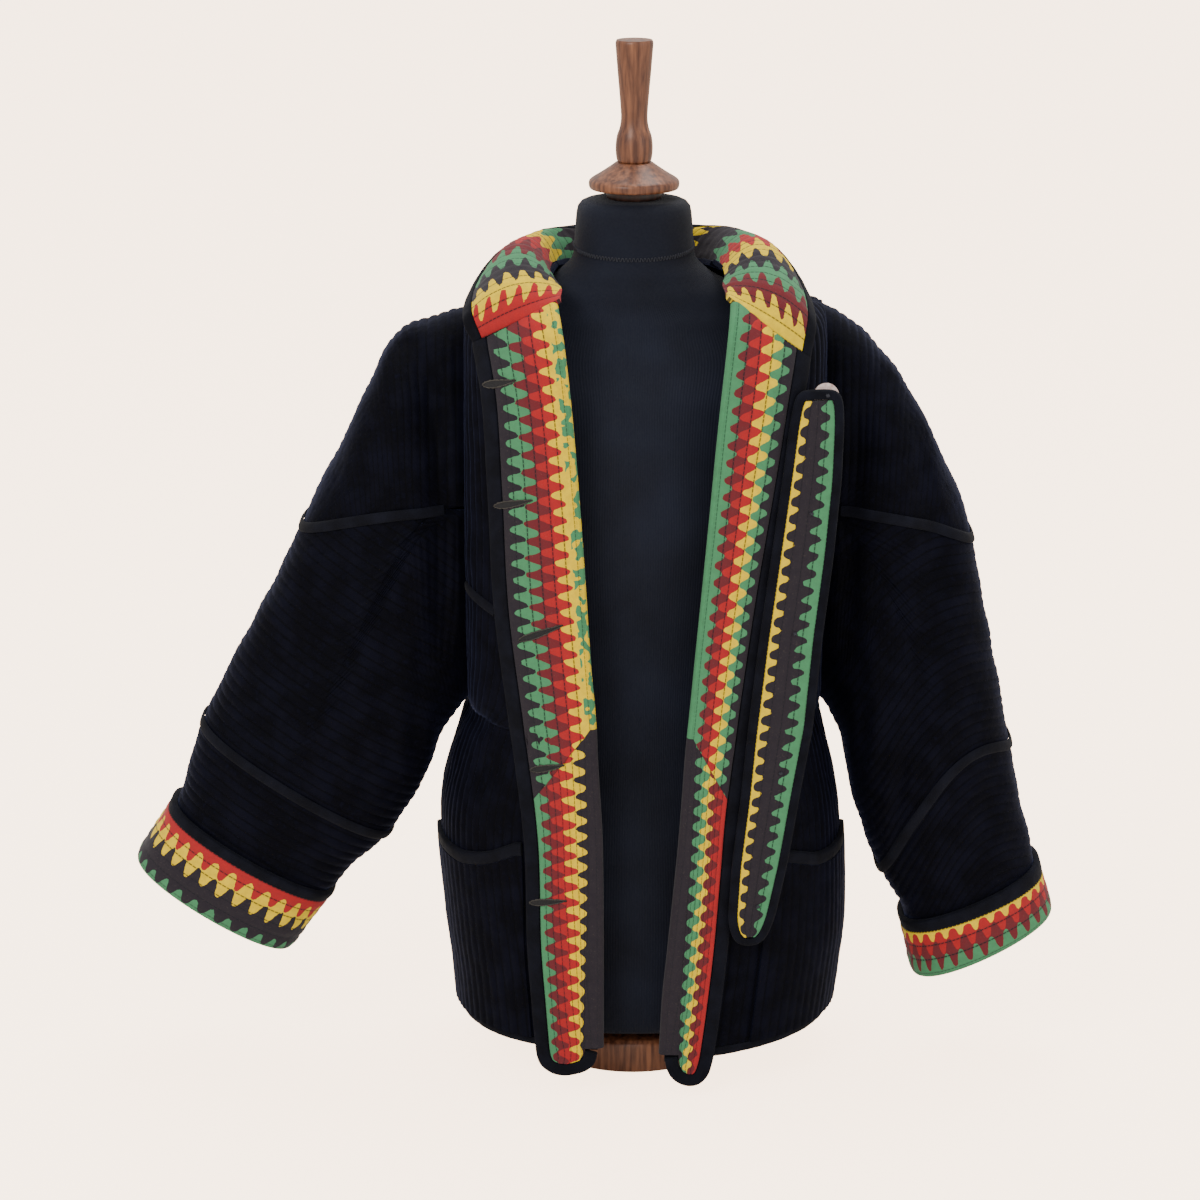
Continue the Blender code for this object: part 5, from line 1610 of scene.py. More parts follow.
@dataclass(frozen=True)
class TurnedFronts:
    """Fronts turned back, lining side out, in two pieces with a mitre, and their binding."""

    tape: bpy.types.Material
    prints: dict
    columns: int = 41
    rows: tuple = (90, 120)
    top_crowding: float = 0.6

    def piece(self, side: Side, node: str, plan: Array, seed: int) -> None:
        """Makes one turned-back piece, rolled round the fold.

        Args:
            side: Its side.
            node: The solid that it stands for.
            plan: Places (x, height), rows upwards and columns out from the fold.
            seed: Number for its ripples.
        """
        plan = plan[:, ::-1]
        point, normal, away = HalfBody(side).over(plan)
        run = lengths(point, 1)
        share = 1 - np.linspace(0, 1, plan.shape[1])[None, :] * np.ones_like(run)
        number = channel_number(run, run[:, -1:], LINING_PITCH)
        height, fold_height = point[..., 2], point[:, -1, 2]
        kept = np.clip(height, fold_height[0], fold_height[-1])
        up = np.interp(kept, fold_height, lengths(point[:, -1], 0)) + height - kept
        raised = quilted(number, LINING_RISE, 0.35 * ripple(run * 1.2, height, 17, seed))
        raised = raised * np.clip((run[:, -1:] - run) / 6, 0, 1)
        swell = 0.7 * ripple(run, height, 70, seed + 1) * np.sin(math.pi * share) ** 2
        outer = point + normal * (TURN_LIFT + CLOTH + raised + swell)[..., None]
        outside, inside = rolled(point[:, -1], -away[:, -1], normal[:, -1], TURN_LIFT)
        outer = np.concatenate([outer, np.stack(outside, axis=1)], axis=1)
        inner = np.concatenate([point + normal * TURN_LIFT, np.stack(inside, axis=1)], axis=1)
        stripes, past = self.prints[side, node], ((0, 0), (0, len(inside)))
        share = np.pad(share, past, constant_values=-0.01)
        number = np.pad(number, past, constant_values=0.5)
        up = np.pad(up, past, mode="edge") * MM
        sheet(f"{node}_{side.value}", outer, inner, stripes.material(), "lining", Held.FOLDED,
              [f"front_{side.value}"], uv=np.stack([stripes.numbers(share), up], axis=-1),
              sewn=np.stack([number, up], axis=-1))

    def build(self) -> None:
        """Builds the four pieces and the two bindings."""
        by, half = TAPE_WIDTH + 3 * SEAM_GAP, SEAM_GAP / 2
        for side in Side:
            edge = FrontEdge(side)
            at_fold, at_edge = MITRE[side]
            mitre = edge.place(at_edge)
            fold_top, edge_top = COLLAR_SEAM[side]
            last = edge.place(edge_top)
            denser = np.linspace(0, 1, self.rows[1]) ** self.top_crowding
            stations = [
                np.linspace(0, EDGE_CORNER, self.columns - 1),
                EDGE_CORNER + (mitre - EDGE_CORNER) * np.linspace(0, 1, self.rows[0]),
                mitre + (last - mitre) * denser,
            ]
            bottom = edge.at(stations[0], by)
            bottom[0, 1] += 2.0
            bottom = np.concatenate([edge.fold(bottom[:1, 1]), bottom])
            right = edge.at(stations[1], by)
            left = edge.fold(np.linspace(bottom[0, 1], at_fold, self.rows[0]))
            plan = patch(bottom, np.linspace(left[-1], right[-1], self.columns), left, right)
            plan[-1, :, 1] -= half
            self.piece(side, "turned_front_lower", plan, 41)
            right = edge.at(stations[2], by)
            left = edge.fold(at_fold + (fold_top - at_fold) * denser)
            plan = patch(*(np.linspace(left[i], right[i], self.columns) for i in (0, -1)), left, right)
            plan[0, :, 1] += half
            self.meet_collar(side, edge, plan, np.linspace(0, 1, self.columns))
            self.piece(side, "turned_front_upper", plan, 51)
            self.bound(side, edge, np.unique(np.concatenate(stations)))

    def meet_collar(self, side: Side, edge: FrontEdge, plan: Array, shares: Array) -> None:
        """Slants the top of a plan to the collar's seam.

        Args:
            side: Its side.
            edge: The edge's plan.
            plan: The plan, changed in place.
            shares: How much of the slant each column takes.
        """
        start, stop = edge.collar_seam()
        inner = edge.at(edge.place(COLLAR_SEAM[side][1]), TAPE_WIDTH)
        across = (inner[0] - start[0]) / (stop[0] - start[0])
        slant = start[1] + across * (stop[1] - start[1]) - inner[1]
        near = np.clip(1 - (plan[-1:, :, 1] - plan[..., 1]) / COLLAR_REACH, 0, 1)
        plan[..., 1] += near * (shares * slant + COLLAR_GAP - SEAM_GAP)

    def bound(self, side: Side, edge: FrontEdge, places: Array) -> None:
        """Makes the binding along the edge.

        Args:
            side: Its side.
            edge: The edge's plan.
            places: Places along the edge.
        """
        insets = np.array([TAPE_WIDTH, 11.4, 9.0, 6.0, 3.0, 1.2, 0.4, 0.0])
        plan = np.stack([edge.at(places, by) for by in insets], axis=1)
        self.meet_collar(side, edge, plan, insets / TAPE_WIDTH)
        point, normal, _ = HalfBody(side).over(plan)
        proud = TURN_LIFT + CLOTH + TAPE_PROUD
        lifts = np.array([proud - 0.5, proud, proud + 0.1, proud + 0.2, proud + 0.1, proud - 0.1,
                          proud - 0.8, TURN_LIFT + CLOTH * 0.7])[None, :]
        run = lengths(point, 0)
        ruffled = lifts + 0.2 * ripple(run, insets[None, :] * 2.0, 15, 61)
        behind = TURN_LIFT - TAPE_PROUD
        lows = np.array([behind] * 6 + [behind + 0.5, TURN_LIFT + CLOTH * 0.3])[None, :]
        sheet(f"front_binding_{side.value}", point + normal * ruffled[..., None],
              point + normal * lows[..., None], self.tape, "tape", Held.FOLDED,
              [f"turned_front_lower_{side.value}"], point)


@dataclass(frozen=True)
class Collar:
    """The open collar, lining side up, with its bound edge."""

    tape: bpy.types.Material
    stripes: Print
    half: int = 96
    rows: int = 26
    tucked: float = -0.06

    def end(self, side: Side) -> Array:
        """First row of the collar, on the seam at the top of the turned-back front.

        Args:
            side: Its side.

        Returns:
            Base, roll and edge points, with x outwards, in one row.
        """
        plan = np.linspace(*FrontEdge(side).collar_seam(), 3) + (0, COLLAR_GAP)
        point, normal, away = HalfBody(side).over(plan)
        lying = point + normal * (TURN_LIFT + CLOTH)
        rolled = point[0] + normal[0] * (TURN_LIFT + CLOTH * 0.8) - away[0] * CLOTH
        row = np.concatenate([rolled, 2 * lying[1] - (lying[0] + lying[2]) / 2, lying[2]])
        row[0::3] *= side.sign
        return row

    def surface(self, places: list, reach: Array) -> tuple[Array, Array, Array]:
        """Lining side of the collar.

        Args:
            places: Side and fractional row of each column.
            reach: From 0 at the base to 1 at the edge.

        Returns:
            Points, normals and directions towards the edge.
        """
        tables = {side: [self.end(side), *COLLAR_ROWS[side]] for side in Side}
        columns = []
        for side, place in places:
            row = along(tables[side], place).reshape(3, 3)
            row[:, 0] *= side.sign
            columns.append(row)
        base, roll, edge = (np.stack([column[i] for column in columns]) for i in range(3))
        reach = np.asarray(reach, float)[..., None]
        point = (1 - reach) ** 2 * base + 2 * reach * (1 - reach) * roll + reach**2 * edge
        up = 2 * (1 - reach) * (roll - base) + 2 * reach * (edge - roll)
        return point, unit(np.cross(np.gradient(point, axis=1), up)), unit(up)

    def places(self) -> list:
        """Columns spaced evenly along the collar.

        Returns:
            Side and fractional row of each.
        """
        chosen = {}
        for side in Side:
            fine = np.linspace(0, len(COLLAR_ROWS[side]), 200)
            line, *_ = self.surface([(side, p) for p in fine], np.full((1, 200), 0.7))
            run = lengths(line, 1)[0]
            chosen[side] = np.interp(np.linspace(0, run[-1], self.half + 1), run, fine)
        left, right = chosen[Side.LEFT], chosen[Side.RIGHT][-2::-1]
        return [(Side.LEFT, p) for p in left] + [(Side.RIGHT, p) for p in right]

    def build(self) -> None:
        """Builds the collar and its binding."""
        where = self.places()
        ones = np.ones(len(where))
        shape, *_ = self.surface(where, np.linspace(0, 1, 24)[:, None] * ones)
        span = lengths(shape, 0)[-1]
        taped = 1 - TAPE_WIDTH / span * 0.95
        reach = self.tucked + np.linspace(0, 1, self.rows)[:, None] * (taped - self.tucked)
        point, normal, up = self.surface(where, reach)
        middle = np.broadcast_to(lengths(point, 1)[self.rows * 2 // 3], reach.shape)
        number = channel_number(middle, middle[:, -1:], LINING_PITCH)
        down = lengths(point, 0)
        raised = quilted(number, LINING_RISE, 0.35 * ripple(middle, down * 1.2, 16, 71))
        fade = np.clip(np.minimum(down, down[-1:] - down) / 5, 0.3, 1)
        outer = point + normal * (raised * fade)[..., None]
        sheet("collar", outer, point - normal * CLOTH, self.stripes.material(), "lining", Held.FOLDED,
              ["front_yoke_left", "front_yoke_right"], point,
              uv=np.stack([self.stripes.numbers(middle / middle[:, -1:]), down * MM], axis=-1),
              sewn=np.stack([number, down * MM], axis=-1))

        across = square_to(point[-1], normal[-1])
        across = across * np.sign(np.sum(across * up[-1], axis=-1, keepdims=True))
        first = point[-1] + across * 2 * SEAM_GAP, normal[-1]
        shares = np.array([0.0, 0.08, 0.3, 0.55, 0.8])[:, None]
        inner_edge = 1 - 1.2 / span
        reach = np.concatenate([taped + (inner_edge - taped) * shares, inner_edge[None], ones[None]])
        point, normal, _ = self.surface(where, reach)
        point[0], normal[0] = first
        lifts = np.array([0.2, TAPE_PROUD, 0.95, 1.0, 0.9, TAPE_PROUD - 0.2, -CLOTH * 0.3])[:, None]
        ruffled = lifts + 0.18 * ripple(lengths(point, 1), np.arange(7)[:, None] * 4.0, 15, 72)
        depths = np.array([-CLOTH * 0.6, 0, TAPE_PROUD, TAPE_PROUD, TAPE_PROUD, 0.5, -CLOTH * 0.3])
        sheet("collar_binding", point + normal * ruffled[..., None],
              point - normal * (CLOTH + depths)[:, None, None], self.tape, "tape", Held.FOLDED,
              ["collar"], point)


@dataclass(frozen=True)
class Pockets:
    """Patch pockets with bound mouths."""

    velvet: bpy.types.Material
    tape: bpy.types.Material
    columns: int = 71
    rows: int = 30
    rise: float = 1.1

    def build(self) -> None:
        """Builds both pockets."""
        for side in Side:
            form, edge = HalfBody(side), FrontEdge(side)
            mouth = np.array(POCKET_MOUTH[side], float)
            level, turn = form.locate(mouth[:, 0], mouth[:, 1])
            places = np.stack([level, np.maximum(turn, POCKET_SIDE)], axis=1)
            places[0, 1] = POCKET_SIDE
            top = resampled(places, self.columns)
            line = edge.at(np.linspace(EDGE_CORNER, edge.place(mouth[-1, 1]), 60), -POCKET_CLEAR[side])
            line_level, line_turn = form.locate(line[:, 0], line[:, 1])
            low = HEM_LEVEL + 0.01
            right = np.stack([np.linspace(low, top[-1, 0], self.rows)] * 2, axis=1)
            right[:, 1] = np.interp(right[:, 0], line_level, line_turn)
            top[-1, 1] = right[-1, 1]
            left = np.stack([np.linspace(low, top[0, 0], self.rows), np.full(self.rows, POCKET_SIDE)], axis=1)
            grid = patch(np.linspace(left[0], right[0], self.columns), top, left, right)
            point, normal, _ = form.frame(grid[..., 0], grid[..., 1])
            rise = unit(np.gradient(point, axis=0))
            body = np.concatenate([point[:-1], (point[-1] - rise[-1] * (TAPE_WIDTH + SEAM_GAP))[None]])
            keep = lengths(point, 0) < lengths(point, 0)[-1:] - TAPE_WIDTH - SEAM_GAP
            rows = int(keep.all(axis=1).sum())
            body, out = np.concatenate([body[:rows], body[-1:]]), np.concatenate([normal[:rows], normal[-1:]])
            run = lengths(body, 1)
            number = run / VELVET_PITCH
            raised = quilted(number, self.rise, 0.2 * ripple(run * 0.5, body[..., 2], 8, 81))
            raised = raised * np.clip(np.minimum(run, run[:, -1:] - run) / 4, 0, 1)
            up = lengths(body, 0)
            outer = body + out * (POCKET_LIFT + POCKET_THICK + raised)[..., None]
            sheet(f"pocket_{side.value}", outer, body + out * POCKET_LIFT, self.velvet, "velvet", Held.HUNG,
                  [f"front_{side.value}"], body, sewn=np.stack([number, up * MM], axis=-1))
            self.bound(side, point[-1], normal[-1], rise[-1])

    def bound(self, side: Side, base: Array, out: Array, rise: Array) -> None:
        """Makes the binding of the mouth.

        Args:
            side: Its side.
            base: The mouth's line.
            out: Its normals.
            rise: Its upward directions.
        """
        proud = POCKET_LIFT + POCKET_THICK + TAPE_PROUD
        falls = (TAPE_WIDTH, TAPE_WIDTH - 0.8, 8.0, 4.0, 1.0, 0.0)
        lifts = (proud - 0.5, proud, proud + 0.2, proud + 0.2, proud - 0.1, POCKET_LIFT + 1.2)
        outer = np.stack([base - rise * fall + out * lift for fall, lift in zip(falls, lifts)])
        inner = np.stack([base - rise * fall + out * (POCKET_LIFT - 0.4) for fall in falls])
        sheet(f"pocket_binding_{side.value}", outer, inner, self.tape, "tape", Held.FOLDED,
              [f"pocket_{side.value}"])


@dataclass(frozen=True)
class SeamTapes:
    """Bound seams over the sleeves and along the yokes."""

    tape: bpy.types.Material
    width: float = 10.0
    thick: float = 2.2
    sleeve_lift: tuple = ((Side.LEFT, 1.35), (Side.RIGHT, 1.5))
    yoke_lift: float = 0.7

    def strip(self, node: str, point: Array, normal: Array, low: float, rests_on: list[str],
              ring: bool = False) -> None:
        """Makes one tape along a line.

        Args:
            node: The solid that it stands for.
            point: The line's points.
            normal: The cloth's normals there.
            low: Height of its underside over the cloth.
            rests_on: What it lies on.
            ring: Whether it closes.
        """
        across = square_to(point, normal, ring)
        outer, inner = [], []
        run = lengths(point[None], 1)[0]
        for share in np.linspace(-1, 1, 9):
            bulge = (1 - abs(share) ** 2.6) ** 0.5 if abs(share) < 1 else 0.0
            lift = low + 0.5 + (self.thick - 0.5) * bulge
            ruffled = 0.0 if ring else 0.15 * ripple(run, np.full(len(run), share * 5), 15, 91)[:, None]
            outer.append(point + across * share * self.width / 2 + normal * (lift + ruffled))
            inner.append(point + across * share * (self.width / 2 - 0.3) + normal * low)
        sheet(node, np.stack(outer), np.stack(inner), self.tape, "tape", Held.STRETCHED, rests_on, ring=ring)

    def build(self) -> None:
        """Builds the seven tapes."""
        turns = np.arange(ARM_COLUMNS) * 360 / ARM_COLUMNS
        lifts = dict(self.sleeve_lift)
        for side in Side:
            name, form, edge = side.value, SleeveForm(side), FrontEdge(side)
            over = turns[form.upper_seam(turns) > 0]
            point, normal, _ = form.frame(form.upper_seam(over), over)
            self.strip(f"seam_tape_upper_{name}", point, normal, lifts[side], [f"sleeve_upper_{name}"])
            point, normal, _ = form.frame(form.lower_seam(turns), turns)
            self.strip(f"seam_tape_lower_{name}", point, normal, lifts[side], [f"sleeve_middle_{name}"], True)
            line = edge.at(np.linspace(edge.place(300), edge.place(600), 60), -2.0)
            body = HalfBody(side)
            level, turn = body.locate(line[:, 0], line[:, 1])
            point, normal, _ = body.frame(SEAM_ROW, np.linspace(0.1, np.interp(SEAM_ROW, level, turn), 60))
            self.strip(f"yoke_tape_front_{name}", point, normal, self.yoke_lift, [f"front_yoke_{name}"])
        reach = np.linspace(0.1, 1, 80)
        halves = [HalfBody(side, True).frame(SEAM_ROW, reach)[:2] for side in Side]
        point, normal = (np.concatenate([a, b[-2::-1]]) for a, b in zip(*halves))
        self.strip("yoke_tape_back", point, normal, self.yoke_lift, ["back_yoke_left", "back_yoke_right"])


@dataclass(frozen=True)
class ButtonStrip:
    """The right front's folded button stand, its binding, buttons and sewn spots."""

    tape: bpy.types.Material
    stripes: Print
    shell: bpy.types.Material
    thread: bpy.types.Material
    pucker: float = 1.6
    pucker_reach: float = 8.0
    dense: int = 150

    def depth(self, plan: Array) -> Array:
        """y of the strip's hidden face.

        Args:
            plan: Places (x, height).

        Returns:
            The y of each place.
        """
        rows = np.array(STRIP_ROWS, float)
        inner_x = np.interp(plan[..., 1], rows[:, 0], rows[:, 1])
        point, normal, _ = HalfBody(Side.RIGHT).over(np.stack([inner_x, plan[..., 1]], axis=-1))
        start = point[..., 1] + (TURN_LIFT + CLOTH + TAPE_PROUD + STRIP_LIFT) / normal[..., 1]
        return start + (plan[..., 0] - inner_x) * STRIP_SLOPE

    def dented(self, x: Array, z: Array) -> Array:
        """How far the sewn-on buttons pull the strip in.

        Args:
            x: Places across.
            z: Heights.

        Returns:
            Depths in millimetres.
        """
        total = np.zeros(np.broadcast(x, z).shape)
        for button_x, button_z, _ in BUTTONS:
            total = total + np.exp(-(((x - button_x) / self.pucker_reach) ** 2
                                     + ((z - button_z) / (self.pucker_reach * 0.8)) ** 2))
        return total * self.pucker

    def outline(self) -> tuple[Array, Array]:
        """Outline of the strip.

        Returns:
            Points (x, height) and inward directions.
        """
        rows = np.array(STRIP_ROWS, float)
        ring = np.concatenate([rows[::-1, [1, 0]], rows[:, [2, 0]]])
        closed = np.concatenate([ring, ring[:1]])
        run = lengths(closed, 0)
        wanted = np.linspace(0, run[-1], 321)[:-1]
        line = np.stack([np.interp(wanted, run, column) for column in closed.T], axis=1)
        for _ in range(6):
            line = (np.roll(line, 1, axis=0) + 2 * line + np.roll(line, -1, axis=0)) / 4
        way = unit(np.roll(line, -1, axis=0) - np.roll(line, 1, axis=0))
        return line, np.stack([-way[:, 1], way[:, 0]], axis=1)

    def build(self) -> None:
        """Builds the strip, its binding and what is sewn to it."""
        line, inward = self.outline()
        proud = TAPE_PROUD / 2
        front = ((STRIP_TAPE, CLOTH + proud - 0.4), (STRIP_TAPE - 0.5, CLOTH + proud),
                 (STRIP_TAPE / 2, CLOTH + proud + 0.3), (2, CLOTH + proud + 0.1), (0.8, CLOTH + proud - 0.3),
                 (0, CLOTH * 0.6))
        behind = ((STRIP_TAPE, -proud), (STRIP_TAPE - 0.5, -proud), (STRIP_TAPE / 2, -proud), (2, -proud),
                  (0.8, -proud + 0.3), (0, CLOTH * 0.3))
        run = lengths(line[None], 1)[0]
        grids = []
        for spots, ruffle in ((front, 0.22), (behind, 0.0)):
            rings = []
            for by, lift in spots:
                plan = line + inward * by
                y = self.depth(plan) - lift - ruffle * ripple(run, np.full(len(run), by * 2), 12, 95)
                rings.append(np.stack([plan[:, 0], y, plan[:, 1]], axis=1))
            grids.append(np.stack(rings))
        sheet("strip_binding", *grids, self.tape, "tape", Held.FOLDED, ["strip"], ring=True)
        self.panel(line + inward * (STRIP_TAPE + SEAM_GAP))
        for number, (x, z, gap) in enumerate(BUTTONS, 1):
            self.button(number, x, z, gap)

    def panel(self, inside: Array) -> None:
        """Makes the lining side of the strip.

        Args:
            inside: Its outline, clear of the binding.
        """
        low, high = inside[:, 1].argmin(), inside[:, 1].argmax()
        order = np.roll(inside, -high, axis=0)
        turn = order[:, 1].argmin()
        falling, rising = order[:turn + 1], order[turn:]
        heights = np.linspace(inside[low, 1] + 1.5, inside[high, 1] - 1.0, self.dense)
        left = np.interp(heights, falling[::-1, 1], falling[::-1, 0])
        right = np.interp(heights, np.append(rising[:, 1], order[0, 1]), np.append(rising[:, 0], order[0, 0]))
        share = np.linspace(0, 1, 29)[None, :] * np.ones((self.dense, 1))
        x = left[:, None] + (right - left)[:, None] * share
        z = heights[:, None] * np.ones_like(x)
        back = self.depth(np.stack([x, z], axis=-1))
        number = share * 4
        raised = quilted(number, LINING_RISE, 0.35 * ripple(x * 1.4, z, 15, 96))
        outer = np.stack([x, back - CLOTH - raised + self.dented(x, z), z], axis=-1)
        up = (z - z[0]) * MM
        sheet("strip", outer, np.stack([x, back, z], axis=-1), self.stripes.material(), "lining",
              Held.FOLDED, ["front_right"], uv=np.stack([self.stripes.numbers(share), up], axis=-1),
              sewn=np.stack([number, up], axis=-1))

    def button(self, number: int, x: float, z: float, gap: float) -> None:
        """Makes a button behind the strip and its stitches in front.

        Args:
            number: Its number.
            x: Place across.
            z: Height.
            gap: Distance behind the strip.
        """
        reach = BUTTON_RADIUS
        levels = self.depth(np.array([(x, z), (x, z - reach), (x, z + reach)], float))
        upward = unit(np.array([0.0, levels[2] - levels[1], 2 * reach]))
        beside = unit(np.array([1.0, STRIP_SLOPE, 0.0]))
        forward = unit(np.cross(beside, upward))
        beside = np.cross(upward, forward)
        middle = np.array([x, levels[0], z])
        profile = ((0, 0), (0, 10.4), (0.4, 11.2), (1.4, 11.5), (2.8, 11.4), (3.6, 10.7), (4.0, 9.4),
                   (3.6, 8.2), (3.3, 6.5), (3.3, 0))
        made = turned(f"button_{number}_shell", profile, 40, middle - forward * gap, -forward, beside)
        finished(made, self.shell, "shell", f"button_{number}")
        loops = []
        for turn in (0.5, 1.2, 2.2, 2.9):
            way = beside * math.cos(turn) + upward * math.sin(turn)
            path = [middle + way * (1.9 * t) + forward * (CLOTH + LINING_RISE - self.pucker + 0.6
                                                          + 0.9 * (1 - t * t))
                    for t in np.linspace(-1, 1, 9)]
            loops.append(np.array(path))
        finished(threads(f"button_stitches_{number}", loops, 0.42), self.thread, "tape")


def turned(name: str, profile: Array, sides: int, middle: Array, axis: Array,
           start: Array) -> bpy.types.Object:
    """A solid turned round an axis.

    Args:
        name: Its name.
        profile: Distance along the axis and radius of each ring; a radius of 0 closes it.
        sides: Faces round it.
        middle: Where the profile starts.
        axis: Direction of the axis.
        start: Direction of the first side.

    Returns:
        The new object.
    """
    middle, axis, start = (np.asarray(v, float) for v in (middle, axis, start))
    other = np.cross(axis, start)
    around = start * np.cos(circle(sides))[:, None] + other * np.sin(circle(sides))[:, None]
    points = np.concatenate([middle + axis * distance + around * max(radius, 1e-3)
                             for distance, radius in profile])
    faces = []
    for ring in range(len(profile) - 1):
        for i in range(sides):
            j = (i + 1) % sides
            faces.append((ring * sides + i, ring * sides + j, (ring + 1) * sides + j, (ring + 1) * sides + i))
    for ring, order in ((0, 1), (len(profile) - 1, -1)):
        faces.append(tuple(ring * sides + i for i in range(sides))[::order * -1])
    return smoothed(linked(name, points, faces), 40, True)


def threads(name: str, paths: list[Array], radius: float, sides: int = 7) -> bpy.types.Object:
    """Round threads along paths, as one mesh.

    Args:
        name: Its name.
        paths: Points of each thread, in millimetres.
        radius: Radius of the thread.
        sides: Faces round it.

    Returns:
        The new object.
    """
    points, faces = [], []
    angles, aside = circle(sides), np.array([0.31, -0.42, 0.85])
    for path in paths:
        way = unit(np.gradient(path, axis=0))
        one = unit(np.cross(way, aside))
        two = np.cross(way, one)
        base = len(points) * sides
        for centre, a, b in zip(path, one, two):
            points.append(centre + radius * (a * np.cos(angles)[:, None] + b * np.sin(angles)[:, None]))
        for ring in range(len(path) - 1):
            for i in range(sides):
                j = (i + 1) % sides
                row = base + ring * sides
                faces.append((row + i, row + j, row + sides + j, row + sides + i))
        faces.append(tuple(base + i for i in range(sides))[::-1])
        faces.append(tuple(base + (len(path) - 1) * sides + i for i in range(sides)))
    return smoothed(linked(name, np.concatenate(points), faces), 80)


@dataclass(frozen=True)
class Buttonholes:
    """Whip-stitched buttonholes of the left front, gaping a little."""

    thread: bpy.types.Material
    shadow: bpy.types.Material
    gape: float = 2.0
    rim: float = 1.3
    stitches: int = 46
    short: float = 3.0

    def build(self) -> None:
        """Builds the five buttonholes."""
        for number, (inner, outer) in enumerate(BUTTONHOLES, 1):
            self.hole(number, np.array(inner, float), np.array(outer, float))

    def hole(self, number: int, first: Array, last: Array) -> None:
        """Makes one buttonhole.

        Args:
            number: Its number.
            first: Its inner end, (x, height).
            last: Its outer end.
        """
        last = last + unit(first - last) * self.short
        middle, way = (first + last) / 2, unit(last - first)
        over = np.array([-way[1], way[0]])
        half = np.linalg.norm(last - first) / 2
        count = self.stitches * 6
        angle = circle(count)
        run, rise = np.cos(angle), np.sin(angle)
        lens = np.abs(rise) ** 1.35 * np.sign(rise) * (1 + 0.75 * run)
        raised = np.abs(np.sin(angle * self.stitches / 2)) ** 0.7
        uneven = 1 + 0.16 * np.sin(angle * 17 + number) + 0.1 * np.sin(angle * 29 + 2 * number)
        spots = ((0.0, 0.1), (0.15, 0.9), (0.45, 1.25), (0.75, 1.0), (1.0, 0.15))
        grid, behind = [], []
        for share, height in spots:
            out = share * self.rim * np.where(share > 0.5, uneven, 1.0)
            plan = (middle + way * (run * (half + out))[:, None]
                    + over * (lens * self.gape + np.sign(rise) * np.abs(rise) ** 0.55 * out)[:, None])
            lift = LINING_RISE * 0.7 + height * (0.55 + 0.45 * raised)
            grid.append(self.placed(plan, lift))
            behind.append(self.placed(plan, np.full(count, -1.5)))
        made = cloth(f"buttonhole_{number}_stitches", np.stack(grid), np.stack(behind), True)
        finished(made, self.thread, "tape")
        slit = []
        for share in (1.0, 0.5, 0.02):
            plan = (middle + way * (run * (half + 0.4) * share)[:, None]
                    + over * (lens * (self.gape + 0.3) * share)[:, None])
            slit.append(self.placed(plan, np.full(count, LINING_RISE + 0.25 + 0.1 * (1 - share))))
        low = [row - (grid[0][:1] - behind[0][:1]) for row in slit]
        made = cloth(f"buttonhole_{number}_slit", np.stack(slit), np.stack(low), True)
        finished(made, self.shadow, "velvet")

    def placed(self, plan: Array, lift: Array) -> Array:
        """Points over the turned-back left front.

        Args:
            plan: Places (x, height), x to the right.
            lift: Heights over the lining.

        Returns:
            The points.
        """
        point, normal, _ = HalfBody(Side.LEFT).over(plan * (Side.LEFT.sign, 1))
        return point + normal * (TURN_LIFT + CLOTH + lift)[:, None]


